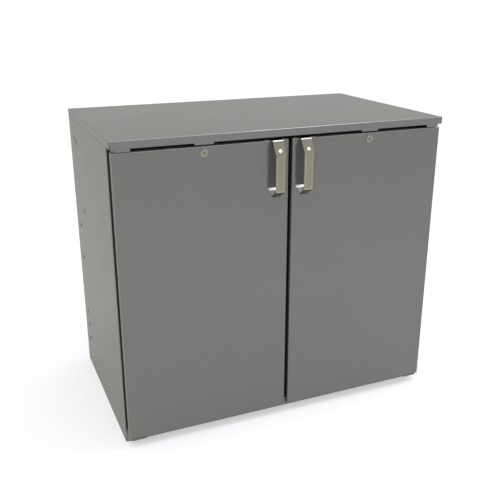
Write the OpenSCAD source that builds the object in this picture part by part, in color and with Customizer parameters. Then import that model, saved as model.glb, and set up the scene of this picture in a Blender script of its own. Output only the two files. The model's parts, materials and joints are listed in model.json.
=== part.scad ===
// Back bar cooler with two solid doors, for a remote condensing unit.
// Origin: middle of the overall box on the floor. +Z is up and the doors face -Y.

/* [Cabinet] */
// Width over the side panels
cab_w = 1010; // [900:5:1200]
// Depth of the countertop
top_d = 610; // [560:5:700]
// Height over the countertop
cab_h = 905; // [850:5:950]
// Thickness of the countertop
top_t = 21; // [18:1:40]
// Radius of the countertop's front and side edges
top_edge_r = 2; // [0.5:0.5:4]
// Thickness of the outer steel sheets
sheet_t = 1.2; // [0.8:0.1:2]
// Thickness of the insulation in the walls
foam_t = 48; // [35:1:60]
// Thickness of the inner liner
liner_t = 1; // [0.6:0.1:2]
// Height of the space under the insulated floor
base_h = 48; // [40:1:80]
// Width of the side panels' folded front edge
fold_w = 30; // [20:1:40]
// Height of the steel strips above and below the opening
rail_h = 46; // [36:1:60]
// How far the base rail stands in front of the side panels
base_rail_out = 2; // [1:0.5:4]
// Depth of the plastic strips around the opening
breaker_d = 12; // [8:1:25]
// Width of the centre mullion
mullion_w = 80; // [70:1:110]
// Depth of the centre mullion
mullion_d = 38; // [25:1:60]
// Width of the mullion's nose between the doors
nose_w = 8; // [4:0.5:9]
// How far the nose lies behind the door fronts
nose_set = 9; // [5:1:20]

/* [Doors] */
// Gap between the two doors
door_gap = 11.6; // [9:0.1:16]
// How far a door stays inside the cabinet's side
door_side_set = 4.2; // [2:0.1:8]
// Slot between a door and the countertop
top_slot = 10.3; // [9:0.1:14]
// Height of a door's lower edge above the floor
door_z = 30.2; // [24:0.1:40]
// How far the door fronts lie behind the countertop's edge
door_set = 3.4; // [1:0.1:10]
// Depth of the door skin
skin_d = 21; // [16:0.5:28]
// Sheet thickness of the door skin
skin_t = 1; // [0.8:0.1:2]
// Bend radius of the door skin's front edges
skin_r = 2; // [1.2:0.1:4]
// Width of the hem at the back of the door skin
hem_w = 9; // [5:0.5:16]
// Depth of the moulded inner panel behind the skin
panel_d = 9; // [6:0.5:14]
// Wall of the moulded inner panel
panel_t = 2; // [1.5:0.1:3]
// How far the inner panel stays inside the skin at the sides and top
panel_set = 6; // [5:0.5:9]
// How far it stays above the skin's lower edge
panel_low = 20; // [18.5:0.5:30]
// Depth of the gasket
gasket_d = 11.3; // [8:0.1:16]
// Width of the gasket
gasket_w = 14; // [10:0.5:18]
// How far the gasket stays inside the inner panel
gasket_set = 8; // [5:0.5:12]
// Free space between the gasket and the cabinet
gasket_clear = 0.3; // [0.1:0.1:1]
// Raised ledge in the middle of the inner panel
ledge_set = 60; // [40:1:90]

/* [Hinges] */
// Distance of the hinge axis from the door's outer edge
pivot_in = 10; // [8:0.5:12]
// Distance of the hinge axis behind the door front
pivot_set = 24.1; // [23:0.1:25.5]
// Diameter of the hinge pins
pin_dia = 6; // [5:0.5:7]
// Radial play between a hinge pin and its bush
pin_play = 0.05; // [0.02:0.01:0.1]
// Outer diameter of the hinge bushes
bush_dia = 10; // [9:0.5:11]
// Length of the hinge bushes
bush_len = 18; // [12:1:24]
// Width of the top hinge plates
top_plate_w = 45; // [40:1:60]
// Gap between a top hinge plate and the door
plate_gap = 2; // [1:0.1:3]
// Width of the cut in the plate's outer front corner
plate_cut_w = 4.5; // [2:0.5:6]
// Depth of that cut
plate_cut_d = 14; // [8:1:18]
// How far the top hinge plates and the strikes lie behind the countertop's edge
plate_set = 1.6; // [0.2:0.1:3]
// Width of the bottom hinge brackets
bracket_w = 49; // [40:1:60]
// Thickness of the bottom hinge brackets
bracket_t = 5; // [4:0.5:6]
// Play above a bottom hinge bracket
bracket_play = 3.2; // [1:0.1:4]
// Distance of the hinge plates and brackets from the cabinet's side
plate_end = 8; // [6:0.5:9]
// Distance of the base rail's end from the cabinet's side
rail_end = 6.2; // [4:0.1:8]

/* [Handles] */
// How far the handle bar stands in front of the door
grip_out = 30; // [25:1:45]
// How far the handle's top bend stands in front of the door
bend_out = 9; // [6:0.5:14]
// Height of the knee where the slope meets the bar, below the door's top
knee_drop = 34; // [25:1:50]
// Length of the upright bar
grip_len = 107; // [80:1:160]
// Height of the lower return
return_h = 20; // [12:1:40]
// Width of the handle bar
grip_w = 27; // [20:1:36]
// Width of the slope above the knee
slope_w = 32; // [28:1:40]
// Width of the bar where it meets the door
foot_w = 22; // [14:1:27]
// Thickness of the handle strip
grip_t = 3; // [2:0.25:5]
// Width of the bevels along the bar
bevel_w = 4.5; // [2:0.5:6]
// Depth of the bevels along the bar
bevel_d = 1.2; // [0.5:0.1:1.8]
// Distance of the handle's middle from the door's inner edge
grip_set = 37.7; // [32:0.1:60]
// Width of the flange on the door's top
flange_w = 72; // [50:1:74]
// Thickness of that flange
flange_t = 1.5; // [1:0.1:2]
// Distance of the flange's front edge behind the door front
flange_set = 6; // [3:0.5:8]
// Diameter of the domed stud on the slope
stud_dia = 13; // [8:0.5:16]
// Height of the domed stud
stud_h = 2.6; // [1.5:0.1:4]
// Drop of the stud's middle below the door's top
stud_drop = 25.5; // [20:0.5:28]

/* [Locks] */
// Distance of the lock from the cabinet's middle
lock_x = 254; // [200:1:300]
// Drop of the lock's middle below the door's top
lock_drop = 17.7; // [15:0.1:20]
// Diameter of the lock's collar
collar_dia = 22.5; // [20:0.5:25]
// Thickness of the lock's collar
collar_t = 1.6; // [1:0.1:3]
// Diameter of the lock barrel
barrel_dia = 17; // [15:0.5:18]
// Diameter of the turning plug
plug_dia = 12; // [10:0.5:13]
// Radial play between the plug and the barrel
plug_play = 0.06; // [0.02:0.01:0.1]
// Width of the key slot
key_w = 2.6; // [2:0.1:3]
// Height of the key slot
key_h = 6.5; // [5:0.1:8]
// Thickness of the cam
cam_t = 2; // [1.5:0.1:3]
// Width of the cam
cam_w = 11; // [8:0.5:12]
// Width of the strike tab under the countertop
strike_w = 54; // [40:1:70]
// Gap between the strike and the door
strike_gap = 4.7; // [3:0.1:6]
// Free space under the strike
strike_play = 0.5; // [0.3:0.1:1]

/* [Inside] */
// Diameter of a shelf's frame wire
rim_dia = 7; // [5:0.5:9]
// Diameter of a shelf's deck wires
wire_dia = 4; // [3:0.5:5]
// Spacing of the deck wires
wire_pitch = 24; // [18:1:35]
// Gap between a shelf and the walls around it
shelf_play = 5; // [3:0.5:10]
// Height of the lower shelves above the inner floor
shelf_z1 = 200; // [150:5:260]
// Height of the upper shelves above the inner floor
shelf_z2 = 400; // [330:5:450]
// Width of a pilaster
pilaster_w = 20; // [16:1:30]
// Depth of a pilaster
pilaster_d = 6; // [4:0.5:8]
// Sheet thickness of a pilaster
pilaster_t = 1; // [0.8:0.1:1.5]
// Spacing of a pilaster's slots
slot_pitch = 25; // [20:1:50]
// Height of a pilaster's slots
slot_h = 6; // [4:0.5:10]
// How far a shelf clip reaches into the cabinet
clip_out = 15; // [12:1:22]
// Height of a shelf clip
clip_h = 22; // [16:1:30]
// Distance of a side pilaster from the front and the back
pilaster_set = 70; // [50:5:120]

/* [Evaporator] */
// Width of the evaporator housing
evap_w = 520; // [440:10:600]
// Depth of the evaporator housing
evap_d = 132; // [128:1:160]
// Height of the evaporator housing
evap_h = 116; // [112:2:150]
// Sheet thickness of the housing
evap_t = 1; // [0.8:0.1:1.5]
// Gap between the housing and the back wall
evap_back = 4; // [3:0.5:10]
// Space beside the coil in the housing
coil_room = 40; // [36:1:60]
// How far the coil's tubes reach past its end fins
coil_end = 4; // [3:0.5:6]
// Gap between the coil and the ceiling
coil_drop = 12; // [8:1:16]
// Gap between the coil and the housing's back
coil_gap = 8; // [5:0.5:10]
// Width of the coil's hangers
hanger_w = 12; // [8:1:16]
// Depth of the coil
coil_d = 60; // [55:1:64]
// Height of the coil
coil_h = 80; // [75:1:90]
// Spacing of the fins
fin_pitch = 11; // [8:1:20]
// Thickness of a fin
fin_t = 0.6; // [0.3:0.1:1]
// Diameter of the coil's tubes
coil_tube = 9.5; // [8:0.5:12]
// Distance of the fans from the middle
fan_x = 115; // [95:5:130]
// Diameter of a fan
fan_dia = 92; // [80:1:96]
// Space around a fan in its opening
fan_play = 3; // [2:0.5:5]
// Number of fan blades
blades = 5; // [3:1:7]
// Pitch of the fan blades
blade_pitch = 28; // [20:1:35]
// Diameter of a fan's hub
hub_dia = 26; // [20:1:32]
// Diameter of a fan's shaft
shaft_dia = 5; // [4:0.5:6]
// Radial play between a shaft and its motor
shaft_play = 0.05; // [0.02:0.01:0.1]
// Diameter of a fan motor
motor_dia = 42; // [36:1:50]
// Length of a fan motor
motor_len = 26; // [20:1:30]
// Diameter of the guard wires
guard_wire = 2.4; // [2:0.2:4]
// Depth of the drain pan
pan_h = 14; // [10:1:20]
// Diameter of the drain tube
drain_dia = 18; // [16:1:20]
// Diameter of the drain tube's spigot under the floor
spigot_dia = 16; // [12:1:17]
// Diameter of the suction line
suction_dia = 12.7; // [12:0.1:16]
// Diameter of the suction line's stub under the floor
suction_stub_dia = 15.9; // [15.9:0.1:19]
// Diameter of the liquid line
liquid_dia = 6.4; // [6:0.1:8]
// Diameter of the liquid line's stub under the floor
liquid_stub_dia = 9.5; // [9.5:0.1:12]
// Length of the stubs and the spigot
stub_len = 30; // [24:1:32]
// Height of their lower ends above the floor
stub_z = 12; // [6:1:14]
// Distance of the suction line from the coil
line_out = 12; // [10:1:14]
// Distance between the suction line and the liquid line
line_pitch = 20; // [18:0.5:21]
// Play between a pipe and the insulation
pipe_play = 0.3; // [0.2:0.1:1]

/* [Controls] */
// Width of the control box
box_w = 110; // [90:5:130]
// Depth of the control box
box_d = 70; // [50:5:90]
// Height of the control box
box_h = 62; // [50:2:80]
// Gap between the control box and the evaporator housing
box_gap = 30; // [20:5:40]
// Diameter of the thermostat knob
knob_dia = 34; // [26:1:40]
// Height of the thermostat knob
knob_h = 15; // [10:1:20]
// Diameter of the knob's stem
stem_dia = 6; // [5:0.5:8]
// Radial play of the knob's stem
stem_play = 0.06; // [0.02:0.01:0.1]
// Width of the light switch
rocker_w = 13; // [10:1:18]
// Height of the light switch
rocker_h = 24; // [18:1:30]
// Length of the lamp
lamp_w = 360; // [240:10:440]
// Depth of the lamp, front to back
lamp_d = 26; // [20:1:34]
// Length of the junction box
junction_w = 90; // [70:5:120]
// Depth of the junction box
junction_d = 70; // [50:5:90]
// Height of the junction box
junction_h = 42; // [30:1:44]
// Diameter of the round holes in the side panels
plug_hole = 16; // [12:1:18]
// Diameter of the cups that close these holes from behind
plug_head = 21; // [20:1:26]
// Depth of these cups
plug_deep = 1; // [0.5:0.1:2]

/* [Hidden] */
$fn = 64;

half_w = cab_w / 2;
// Depths run from the middle of the countertop
top_front = -top_d / 2;
back = top_d / 2;
door_front = top_front + door_set;
skin_back = door_front + skin_d;
panel_back = skin_back + panel_d;
gasket_back = panel_back + gasket_d;
cab_front = gasket_back + gasket_clear;
// The box over the handles and the countertop is centred on the origin
shift_y = -(back + door_front - grip_out) / 2;

top_z = cab_h - top_t;
door_top = top_z - top_slot;
door_in = door_gap / 2;
door_out = half_w - door_side_set;
pivot_x = door_out - pivot_in;
top_plate_t = top_slot - plate_gap;
strike_h = top_slot - strike_gap;
pivot_y = door_front + pivot_set;

// Inner faces of the cavity
in_x = half_w - sheet_t - foam_t - liner_t;
in_back = back - sheet_t - foam_t - liner_t;
in_floor = base_h + sheet_t + foam_t + liner_t;
in_roof = top_z - foam_t - liner_t;
foam_front = cab_front + sheet_t;
mullion_back = cab_front + mullion_d;
shelf_front = mullion_back + pilaster_d + shelf_play;

base_sheet = 2;
lip = 20;
hole_play = 0.2;
cut = 1;
// Places of the holes in the sides: distance before the back, height. The upper ones go
// with the countertop and the lower ones with the floor
plug_spots = [[75, cab_h - 82], [111, cab_h - 89], [162, cab_h - 301], [70, cab_h - 375],
    [70, cab_h - 488], [70, 215.5], [70, 164.5], [70, 112.5]];

// A block between two corners, given as ranges
module block(x, y, z) {
    translate([x[0], y[0], z[0]]) cube([x[1] - x[0], y[1] - y[0], z[1] - z[0]]);
}

// A rectangular frame standing in the XZ plane, of the given bar width
module frame_block(x, y, z, w) {
    difference() {
        block(x, y, z);
        block([x[0] + w, x[1] - w], [y[0] - cut, y[1] + cut], [z[0] + w, z[1] - w]);
    }
}

// A cylinder along Y from y[0] to y[1]
module bar_y(x, z, y, d) {
    translate([x, y[0], z]) rotate([-90, 0, 0]) cylinder(h = y[1] - y[0], d = d);
}

// A cylinder along X from x[0] to x[1]
module bar_x(y, z, x, d) {
    translate([x[0], y, z]) rotate([0, 90, 0]) cylinder(h = x[1] - x[0], d = d);
}

// A cylinder along Z from z[0] to z[1]
module bar_z(x, y, z, d) {
    translate([x, y, z[0]]) cylinder(h = z[1] - z[0], d = d);
}

// A rectangle with its two lower corners rounded, from x[0], y[0] to x[1], y[1]
module front_round(x, y, r) {
    translate([x[0], y[0] + r]) square([x[1] - x[0], y[1] - y[0] - r]);
    translate([x[0] + r, y[0]]) square([x[1] - x[0] - 2 * r, y[1] - y[0]]);
    for (cx = [x[0] + r, x[1] - r]) translate([cx, y[0] + r]) circle(r);
}

// A block whose front face has rounded edges on all four sides
module pillow_block(x, y, z, r) {
    intersection() {
        translate([0, 0, z[0]]) linear_extrude(z[1] - z[0]) front_round(x, y, r);
        translate([x[0] - cut, 0, 0]) rotate([90, 0, 90]) linear_extrude(x[1] - x[0] + 2 * cut)
            side_round(y, z, r);
    }
}

// The same outline seen from the side, with the front corners rounded
module side_round(y, z, r) {
    translate([y[0] + r, z[0]]) square([y[1] - y[0] - r, z[1] - z[0]]);
    translate([y[0], z[0] + r]) square([y[1] - y[0], z[1] - z[0] - 2 * r]);
    for (cz = [z[0] + r, z[1] - r]) translate([y[0] + r, cz]) circle(r);
}

// Everything is moved so that the overall box is centred
module placed() {
    translate([0, shift_y, 0]) children();
}

// The right-hand piece, or its mirror image on the left
module on_side(side) {
    placed() mirror([side < 0 ? 1 : 0, 0, 0]) children();
}

module both_sides() {
    on_side(1) children();
    on_side(-1) children();
}

// Countertop: a steel skin folded over a board
module countertop_skin() {
    r = top_edge_r;
    color("#94938e") placed() difference() {
        intersection() {
            translate([0, back + cut, 0]) rotate([90, 0, 0]) linear_extrude(top_d + 2 * cut)
                crowned([-half_w, half_w], [top_z, cab_h], r);
            translate([-half_w - cut, 0, 0]) rotate([90, 0, 90])
                linear_extrude(cab_w + 2 * cut) crowned([top_front, back], [top_z, cab_h], r);
        }
        block([-half_w + sheet_t, half_w - sheet_t], [top_front + sheet_t, back - sheet_t],
            [top_z - cut, cab_h - sheet_t]);
    }
}

// A rectangle with its two upper corners rounded
module crowned(x, z, r) {
    translate([x[0], z[0]]) square([x[1] - x[0], z[1] - z[0] - r]);
    translate([x[0] + r, z[0]]) square([x[1] - x[0] - 2 * r, z[1] - z[0]]);
    for (cx = [x[0] + r, x[1] - r]) translate([cx, z[1] - r]) circle(r);
}

module countertop_board() {
    color("#b08d62") placed() block([-half_w + sheet_t, half_w - sheet_t],
        [top_front + sheet_t, back - sheet_t], [top_z, cab_h - sheet_t]);
}

// Side panel: a sheet folded in at the front, the back and the bottom
module side_panel() {
    r = 2 * sheet_t;
    difference() {
        translate([0, 0, 0]) linear_extrude(top_z) difference() {
            bent_corner([half_w - fold_w, half_w], [cab_front, back], r);
            bent_corner([half_w - fold_w - cut, half_w - sheet_t],
                [cab_front + sheet_t, back - sheet_t], r - sheet_t);
        }
        for (spot = plug_spots) bar_x(back - spot[0], spot[1],
            [half_w - sheet_t - cut, half_w + cut], plug_hole);
    }
    block([half_w - fold_w, half_w - sheet_t], [cab_front + sheet_t, back - sheet_t],
        [0, sheet_t]);
}

// A rectangle with its two right-hand corners rounded
module bent_corner(x, y, r) {
    translate([x[0], y[0]]) square([x[1] - x[0] - r, y[1] - y[0]]);
    translate([x[0], y[0] + r]) square([x[1] - x[0], y[1] - y[0] - 2 * r]);
    for (cy = [y[0] + r, y[1] - r]) translate([x[1] - r, cy]) circle(r);
}

module side_panel_left() color("#908f85") on_side(-1) side_panel();
module side_panel_right() color("#908f85") on_side(1) side_panel();

// Back sheet between the side panels' folds
module rear_panel() {
    inner = half_w - fold_w;
    color("#8a8a86") placed() block([-inner, inner], [back - sheet_t, back], [base_h, top_z]);
}

// Sheet under the insulated floor, with holes for the pipes
module bottom_panel() {
    color("#8a8a86") placed() difference() {
        inside_block([base_h, base_h + sheet_t]);
        pipe_holes(pipe_play);
    }
}

// A block that fits inside the side panels' bent corners
module inside_block(z) {
    r = 2 * sheet_t;
    x = half_w - sheet_t;
    y = [cab_front + sheet_t, back - sheet_t];
    translate([0, 0, z[0]]) linear_extrude(z[1] - z[0]) {
        bent_corner([0, x], y, r);
        mirror([1, 0]) bent_corner([0, x], y, r);
    }
}

// Channel along the front of the base, with the hinge brackets on its face
module front_base_rail() {
    y0 = cab_front - base_rail_out;
    x1 = half_w - rail_end;
    z1 = base_h;
    color("#6c6b6e") placed() {
        block([-x1, x1], [y0, y0 + base_sheet], [0, z1]);
        block([-half_w + fold_w, half_w - fold_w], [y0, y0 + base_rail_out + lip],
            [0, base_sheet]);
        block([-half_w + fold_w, half_w - fold_w], [y0, y0 + base_rail_out + lip],
            [z1 - base_sheet, z1]);
    }
}

// Two channels along the back of the base, with a gap between them for the pipes
module rear_base_rail() {
    inner = half_w - fold_w;
    color("#6c6b6e") placed() for (x = [[-inner, service_x[0]], [service_x[1], inner]]) {
        block(x, [back - base_sheet, back], [0, base_h]);
        block(x, [back - lip, back], [0, base_sheet]);
        block(x, [back - lip, back], [base_h - base_sheet, base_h]);
    }
}

// Steel strip above the opening, for the gaskets and the hinge plates
module front_top_rail() {
    inner = half_w - fold_w;
    color("#8a8a86") placed() {
        block([-inner, inner], [cab_front, cab_front + sheet_t], [top_z - rail_h, top_z]);
        block([-inner, inner], [cab_front, cab_front + lip], [top_z - sheet_t, top_z]);
    }
}

// Steel strip below the opening
module front_sill() {
    inner = half_w - fold_w;
    color("#8a8a86") placed()
        block([-inner, inner], [cab_front, cab_front + sheet_t], [base_h, base_h + rail_h]);
}

// Hollow post between the two openings
module centre_mullion() {
    color("#3c3c40") placed() {
        difference() {
            block([-mullion_w / 2, mullion_w / 2], [cab_front, mullion_back],
                [in_floor, in_roof]);
            block([-mullion_w / 2 + sheet_t, mullion_w / 2 - sheet_t],
                [cab_front + sheet_t, mullion_back - sheet_t],
                [in_floor - cut, in_roof + cut]);
        }
        // The front sheet runs on to the steel strips above and below
        block([-mullion_w / 2, mullion_w / 2], [cab_front, cab_front + sheet_t],
            [base_h + rail_h, top_z - rail_h]);
    }
}

// Black T-shaped cover whose nose stands between the doors
module mullion_nose() {
    root = nose_w / 2 + 2;
    color("#0c0c0e") placed() difference() {
        union() {
            block([-nose_w / 2, nose_w / 2], [door_front + nose_set, cab_front],
                [base_h, top_z - strike_h]);
            block([-root, root], [cab_front - 2, cab_front], [base_h, top_z - strike_h]);
        }
        block([-nose_w / 2 + 1.5, nose_w / 2 - 1.5],
            [door_front + nose_set + 1.5, cab_front - 3],
            [base_h - cut, top_z - strike_h - 2]);
    }
}

// Black moulded strips that cover the insulation around the opening
module breaker_frame() {
    inner = half_w - fold_w;
    color("#151517") placed() difference() {
        union() {
            block([-inner, inner], [cab_front, cab_front + sheet_t],
                [base_h + rail_h, top_z - rail_h]);
            block([-in_x - liner_t, in_x + liner_t],
                [cab_front, cab_front + sheet_t + breaker_d],
                [in_floor - liner_t, in_roof + liner_t]);
        }
        block([-in_x, in_x], [cab_front - cut, cab_front + sheet_t + breaker_d + cut],
            [in_floor, in_roof]);
        block([-mullion_w / 2, mullion_w / 2], [cab_front - cut, mullion_back],
            [base_h, top_z]);
    }
}

// Insulation foamed between the outer sheets and the liner
module foam_insulation() {
    lined = liner_t;
    color("#e8dfb8") placed() difference() {
        inside_block([base_h + sheet_t, top_z]);
        block([-in_x - lined, in_x + lined], [foam_front - cut, in_back + lined],
            [in_floor - lined, in_roof + lined]);
        block([-half_w + fold_w - cut, half_w - fold_w + cut], [foam_front - cut, cab_front + lip],
            [top_z - sheet_t, top_z + cut]);
        pipe_holes(pipe_play);
        // Seats of the cups behind the holes in the side panels
        for (side = [-1, 1], spot = plug_spots) {
            face = side * (half_w - sheet_t);
            bar_x(back - spot[0], spot[1], [face - plug_deep - plug_wall,
                face + plug_deep + plug_wall], plug_head);
        }
    }
}

// White inner liner, open at the front
module inner_liner() {
    y0 = cab_front + sheet_t + breaker_d;
    color("#e9e9e6") placed() difference() {
        block([-in_x - liner_t, in_x + liner_t], [y0, in_back + liner_t],
            [in_floor - liner_t, in_roof + liner_t]);
        block([-in_x, in_x], [y0 - cut, in_back], [in_floor, in_roof]);
        pipe_holes(pipe_play);
    }
}

// Top hinge plates: a thick plate under the countertop, bored for the pin
module top_hinge_plates() {
    x = [half_w - plate_end - top_plate_w, half_w - plate_end];
    y = [top_front + plate_set, cab_front];
    z0 = top_z - top_plate_t;
    color("#77766f") both_sides() difference() {
        translate([0, 0, z0]) linear_extrude(top_plate_t)
            polygon([[x[0], y[1]], [x[0], y[0]], [x[1] - plate_cut_w, y[0]],
                [x[1] - plate_cut_w, y[0] + plate_cut_d - plate_cut_w],
                [x[1], y[0] + plate_cut_d], [x[1], y[1]]]);
        bar_z(pivot_x, pivot_y, [z0 - cut, top_z + cut], pin_dia);
    }
}

// A plate with its front corners cut off at 45 degrees
module cut_corner_plate(x, y, z) {
    c = 3;
    translate([0, 0, z[0]]) linear_extrude(z[1] - z[0]) polygon([[x[0], y[1]], [x[0], y[0] + c],
        [x[0] + c, y[0]], [x[1] - c, y[0]], [x[1], y[0] + c], [x[1], y[1]]]);
}

// Bottom hinge brackets: a plate under the door and an upright on the base rail
module bottom_hinge_brackets() {
    x1 = half_w - plate_end;
    rail = cab_front - base_rail_out;
    z1 = door_z - bracket_play;
    color("#5a5a55") both_sides() difference() {
        union() {
            cut_corner_plate([x1 - bracket_w, x1], [door_front + 4, rail],
                [z1 - bracket_t, z1]);
            block([x1 - bracket_w, x1 - 0.4 * bracket_w], [rail - 3, rail],
                [z1 - bracket_t, base_h - 2]);
        }
        bar_z(pivot_x, pivot_y, [z1 - bracket_t - cut, z1 + cut], pin_dia);
    }
}

// Four hinge pins, held by the plates and brackets
module hinge_pins() {
    reach = bush_len - 2;
    z0 = door_z - bracket_play - bracket_t;
    color("#b9b9b4") both_sides() {
        bar_z(pivot_x, pivot_y, [z0, door_z + reach], pin_dia);
        bar_z(pivot_x, pivot_y, [door_top - reach, top_z], pin_dia);
    }
}

// Strikes for the locks: a pressed tray under the countertop, its lip at the front
strike_t = 1.5;

module lock_strikes() {
    x = [lock_x - strike_w / 2, lock_x + strike_w / 2];
    y = top_front + plate_set;
    color("#77766f") both_sides() {
        block(x, [y, y + strike_t], [top_z - strike_h, top_z]);
        block(x, [y, cab_front], [top_z - strike_t, top_z]);
    }
}

// Shallow cups that close the round holes of the side panels from behind
plug_wall = 1;

module side_hole_plugs() {
    face = half_w - sheet_t;
    color("#908f85") both_sides() for (spot = plug_spots) difference() {
        bar_x(back - spot[0], spot[1], [face - plug_deep - plug_wall, face], plug_head);
        bar_x(back - spot[0], spot[1], [face - plug_deep, face + cut], plug_hole);
    }
}

// Slotted strip standing on a wall, seen from the front as a channel
module pilaster(z) {
    difference() {
        block([-pilaster_w / 2, pilaster_w / 2], [0, pilaster_d], z);
        block([-pilaster_w / 2 + pilaster_t, pilaster_w / 2 - pilaster_t],
            [pilaster_t, pilaster_d + cut], [z[0] - cut, z[1] + cut]);
        for (h = [z[0] + slot_pitch : slot_pitch : z[1] - slot_pitch])
            block([-pilaster_w / 4, pilaster_w / 4], [-cut, pilaster_d / 2], [h, h + slot_h]);
    }
}

pilaster_low = 20;
pilaster_z = [in_floor + pilaster_low, in_floor + shelf_z2 + 8 * pilaster_low];
side_y1 = shelf_front + pilaster_set;
side_y2 = in_back - pilaster_set;

module pilasters() {
    color("#b4b4b0") placed() {
        for (y = [side_y1, side_y2], side = [-1, 1])
            translate([side * (in_x - pilaster_d), y, 0]) rotate([0, 0, side < 0 ? 90 : -90])
                pilaster(pilaster_z);
        translate([0, in_back - pilaster_d, 0]) pilaster(pilaster_z);
        translate([0, mullion_back + pilaster_d, 0]) rotate([0, 0, 180]) pilaster(pilaster_z);
    }
}

// A clip that hooks onto a pilaster and carries a shelf's rim
module shelf_clip(level, reach) {
    z1 = level - rim_dia / 2;
    w = pilaster_w + 6;
    difference() {
        union() {
            block([-w / 2, w / 2], [-2, 0], [z1 - clip_h, z1]);
            block([-w / 2, w / 2], [-reach, 0], [z1 - 2, z1]);
            for (x = [-w / 2, w / 2 - 2]) translate([x, 0, 0]) rotate([90, 0, 90])
                linear_extrude(2) polygon([[0, z1 - clip_h], [0, z1], [-reach, z1]]);
        }
        bar_y(0, z1 - clip_h / 2, [-reach - cut, cut], 5);
    }
}

module shelf_clips() {
    gap = pilaster_d;
    color("#c9c9c4") placed() for (level = [in_floor + shelf_z1, in_floor + shelf_z2]) {
        for (y = [side_y1, side_y2], side = [-1, 1])
            translate([side * (in_x - gap), y, 0]) rotate([0, 0, side < 0 ? 90 : -90])
                shelf_clip(level, clip_out);
        translate([0, in_back - gap, 0]) shelf_clip(level, clip_out);
        translate([0, mullion_back + gap, 0]) rotate([0, 0, 180]) shelf_clip(level, clip_out);
    }
}

// Wire shelf of the right-hand half: a rim, deck wires and two braces below
shelf_x = [shelf_play / 2 + rim_dia / 2, in_x - pilaster_d - shelf_play - rim_dia / 2];
shelf_y = [shelf_front + rim_dia / 2, in_back - pilaster_d - shelf_play - rim_dia / 2];

module wire_shelf(level) {
    deck = level + (rim_dia + wire_dia) / 2 - 0.8;
    color("#d4d4d0") {
        for (y = shelf_y) bar_x(y, level, shelf_x, rim_dia);
        for (x = shelf_x) bar_y(x, level, shelf_y, rim_dia);
        for (x = shelf_x, y = shelf_y) translate([x, y, level]) sphere(d = rim_dia);
        for (y = [shelf_y[0] + (shelf_y[1] - shelf_y[0]) / 3,
                shelf_y[0] + (shelf_y[1] - shelf_y[0]) * 2 / 3])
            bar_x(y, level, shelf_x, rim_dia - 1);
        for (x = [shelf_x[0] + wire_pitch : wire_pitch : shelf_x[1] - wire_pitch / 2])
            bar_y(x, deck, [shelf_y[0] - 1, shelf_y[1] + 1], wire_dia);
    }
}

module shelf_lower_left() on_side(-1) wire_shelf(in_floor + shelf_z1);
module shelf_lower_right() on_side(1) wire_shelf(in_floor + shelf_z1);
module shelf_upper_left() on_side(-1) wire_shelf(in_floor + shelf_z2);
module shelf_upper_right() on_side(1) wire_shelf(in_floor + shelf_z2);

// Evaporator: a ceiling unit with two fans in front of a finned coil
evap_y = [in_back - evap_back - evap_d, in_back - evap_back];
evap_z = [in_roof - evap_h, in_roof];
coil_w = evap_w - 2 * coil_room;
fan_y = evap_y[0] + evap_t + 3;
fan_len = 12;
motor_y = [fan_y + fan_len + 2, fan_y + fan_len + 2 + motor_len];
coil_y = [evap_y[1] - coil_gap - coil_d, evap_y[1] - coil_gap];
coil_z = [in_roof - coil_drop - coil_h, in_roof - coil_drop];
fan_z = evap_z[0] + evap_h / 2;
opening_dia = fan_dia + 2 * fan_play;
service_x = [-half_w / 4, evap_w / 2 + coil_room];

module evaporator_housing() {
    t = evap_t;
    x1 = evap_w / 2;
    color("#c4c6c6") placed() difference() {
        union() {
            block([-x1, x1], [evap_y[0], evap_y[0] + t], evap_z);
            for (x = [-x1, x1 - t]) block([x, x + t], evap_y, evap_z);
            block([-x1, x1], [evap_y[0], evap_y[0] + 14], [evap_z[1] - t, evap_z[1]]);
            for (x = [-x1, x1 - 14]) block([x, x + 14], evap_y, [evap_z[1] - t, evap_z[1]]);
            for (s = [-1, 1]) bar_y(s * fan_x, fan_z, [evap_y[0] - 3, evap_y[0] + 1],
                opening_dia + 2 * t);
        }
        for (s = [-1, 1]) bar_y(s * fan_x, fan_z, [evap_y[0] - 4, evap_y[0] + t + cut],
            opening_dia);
    }
}

tube_rows = [0.28, 0.72];
tube_levels = [0.2, 0.4, 0.6, 0.8];

function coil_row(r) = coil_y[0] + coil_d * tube_rows[r];
function coil_level(n) = coil_z[0] + coil_h * tube_levels[n];

module evaporator_coil() {
    x1 = coil_w / 2;
    end = x1 + coil_end;
    step = coil_h * (tube_levels[1] - tube_levels[0]);
    color("#bfc3c4") placed() {
        for (x = [-x1 : fin_pitch : x1]) block([x, x + fin_t], coil_y, coil_z);
        for (r = [0, 1]) {
            for (n = [0 : 3]) bar_x(coil_row(r), coil_level(n), [-end, end], coil_tube);
            // Return bends at both ends
            for (n = [0, 2]) return_bend(-end, coil_row(r), coil_level(n) + step / 2, step, -1);
            return_bend(end, coil_row(r), coil_level(1) + step / 2, step, 1);
        }
        // One bend joins the two rows at the bottom
        translate([end, (coil_row(0) + coil_row(1)) / 2, coil_level(0)]) rotate([0, 0, -90])
            rotate_extrude(angle = 180) translate([(coil_row(1) - coil_row(0)) / 2, 0])
                circle(d = coil_tube);
        // Hangers up to the ceiling
        for (x = [-x1 - cut, x1 + cut - hanger_w]) block([x, x + hanger_w],
            [coil_y[0] + coil_gap, coil_y[1] - coil_gap], [coil_z[1] - cut, in_roof]);
    }
}

// Half a ring that joins two tubes one above the other
module return_bend(x, y, z, step, side) {
    translate([x, y, z]) rotate([90, 0, 0]) rotate([0, 0, side > 0 ? -90 : 90])
        rotate_extrude(angle = 180) translate([step / 2, 0]) circle(d = coil_tube);
}

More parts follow.
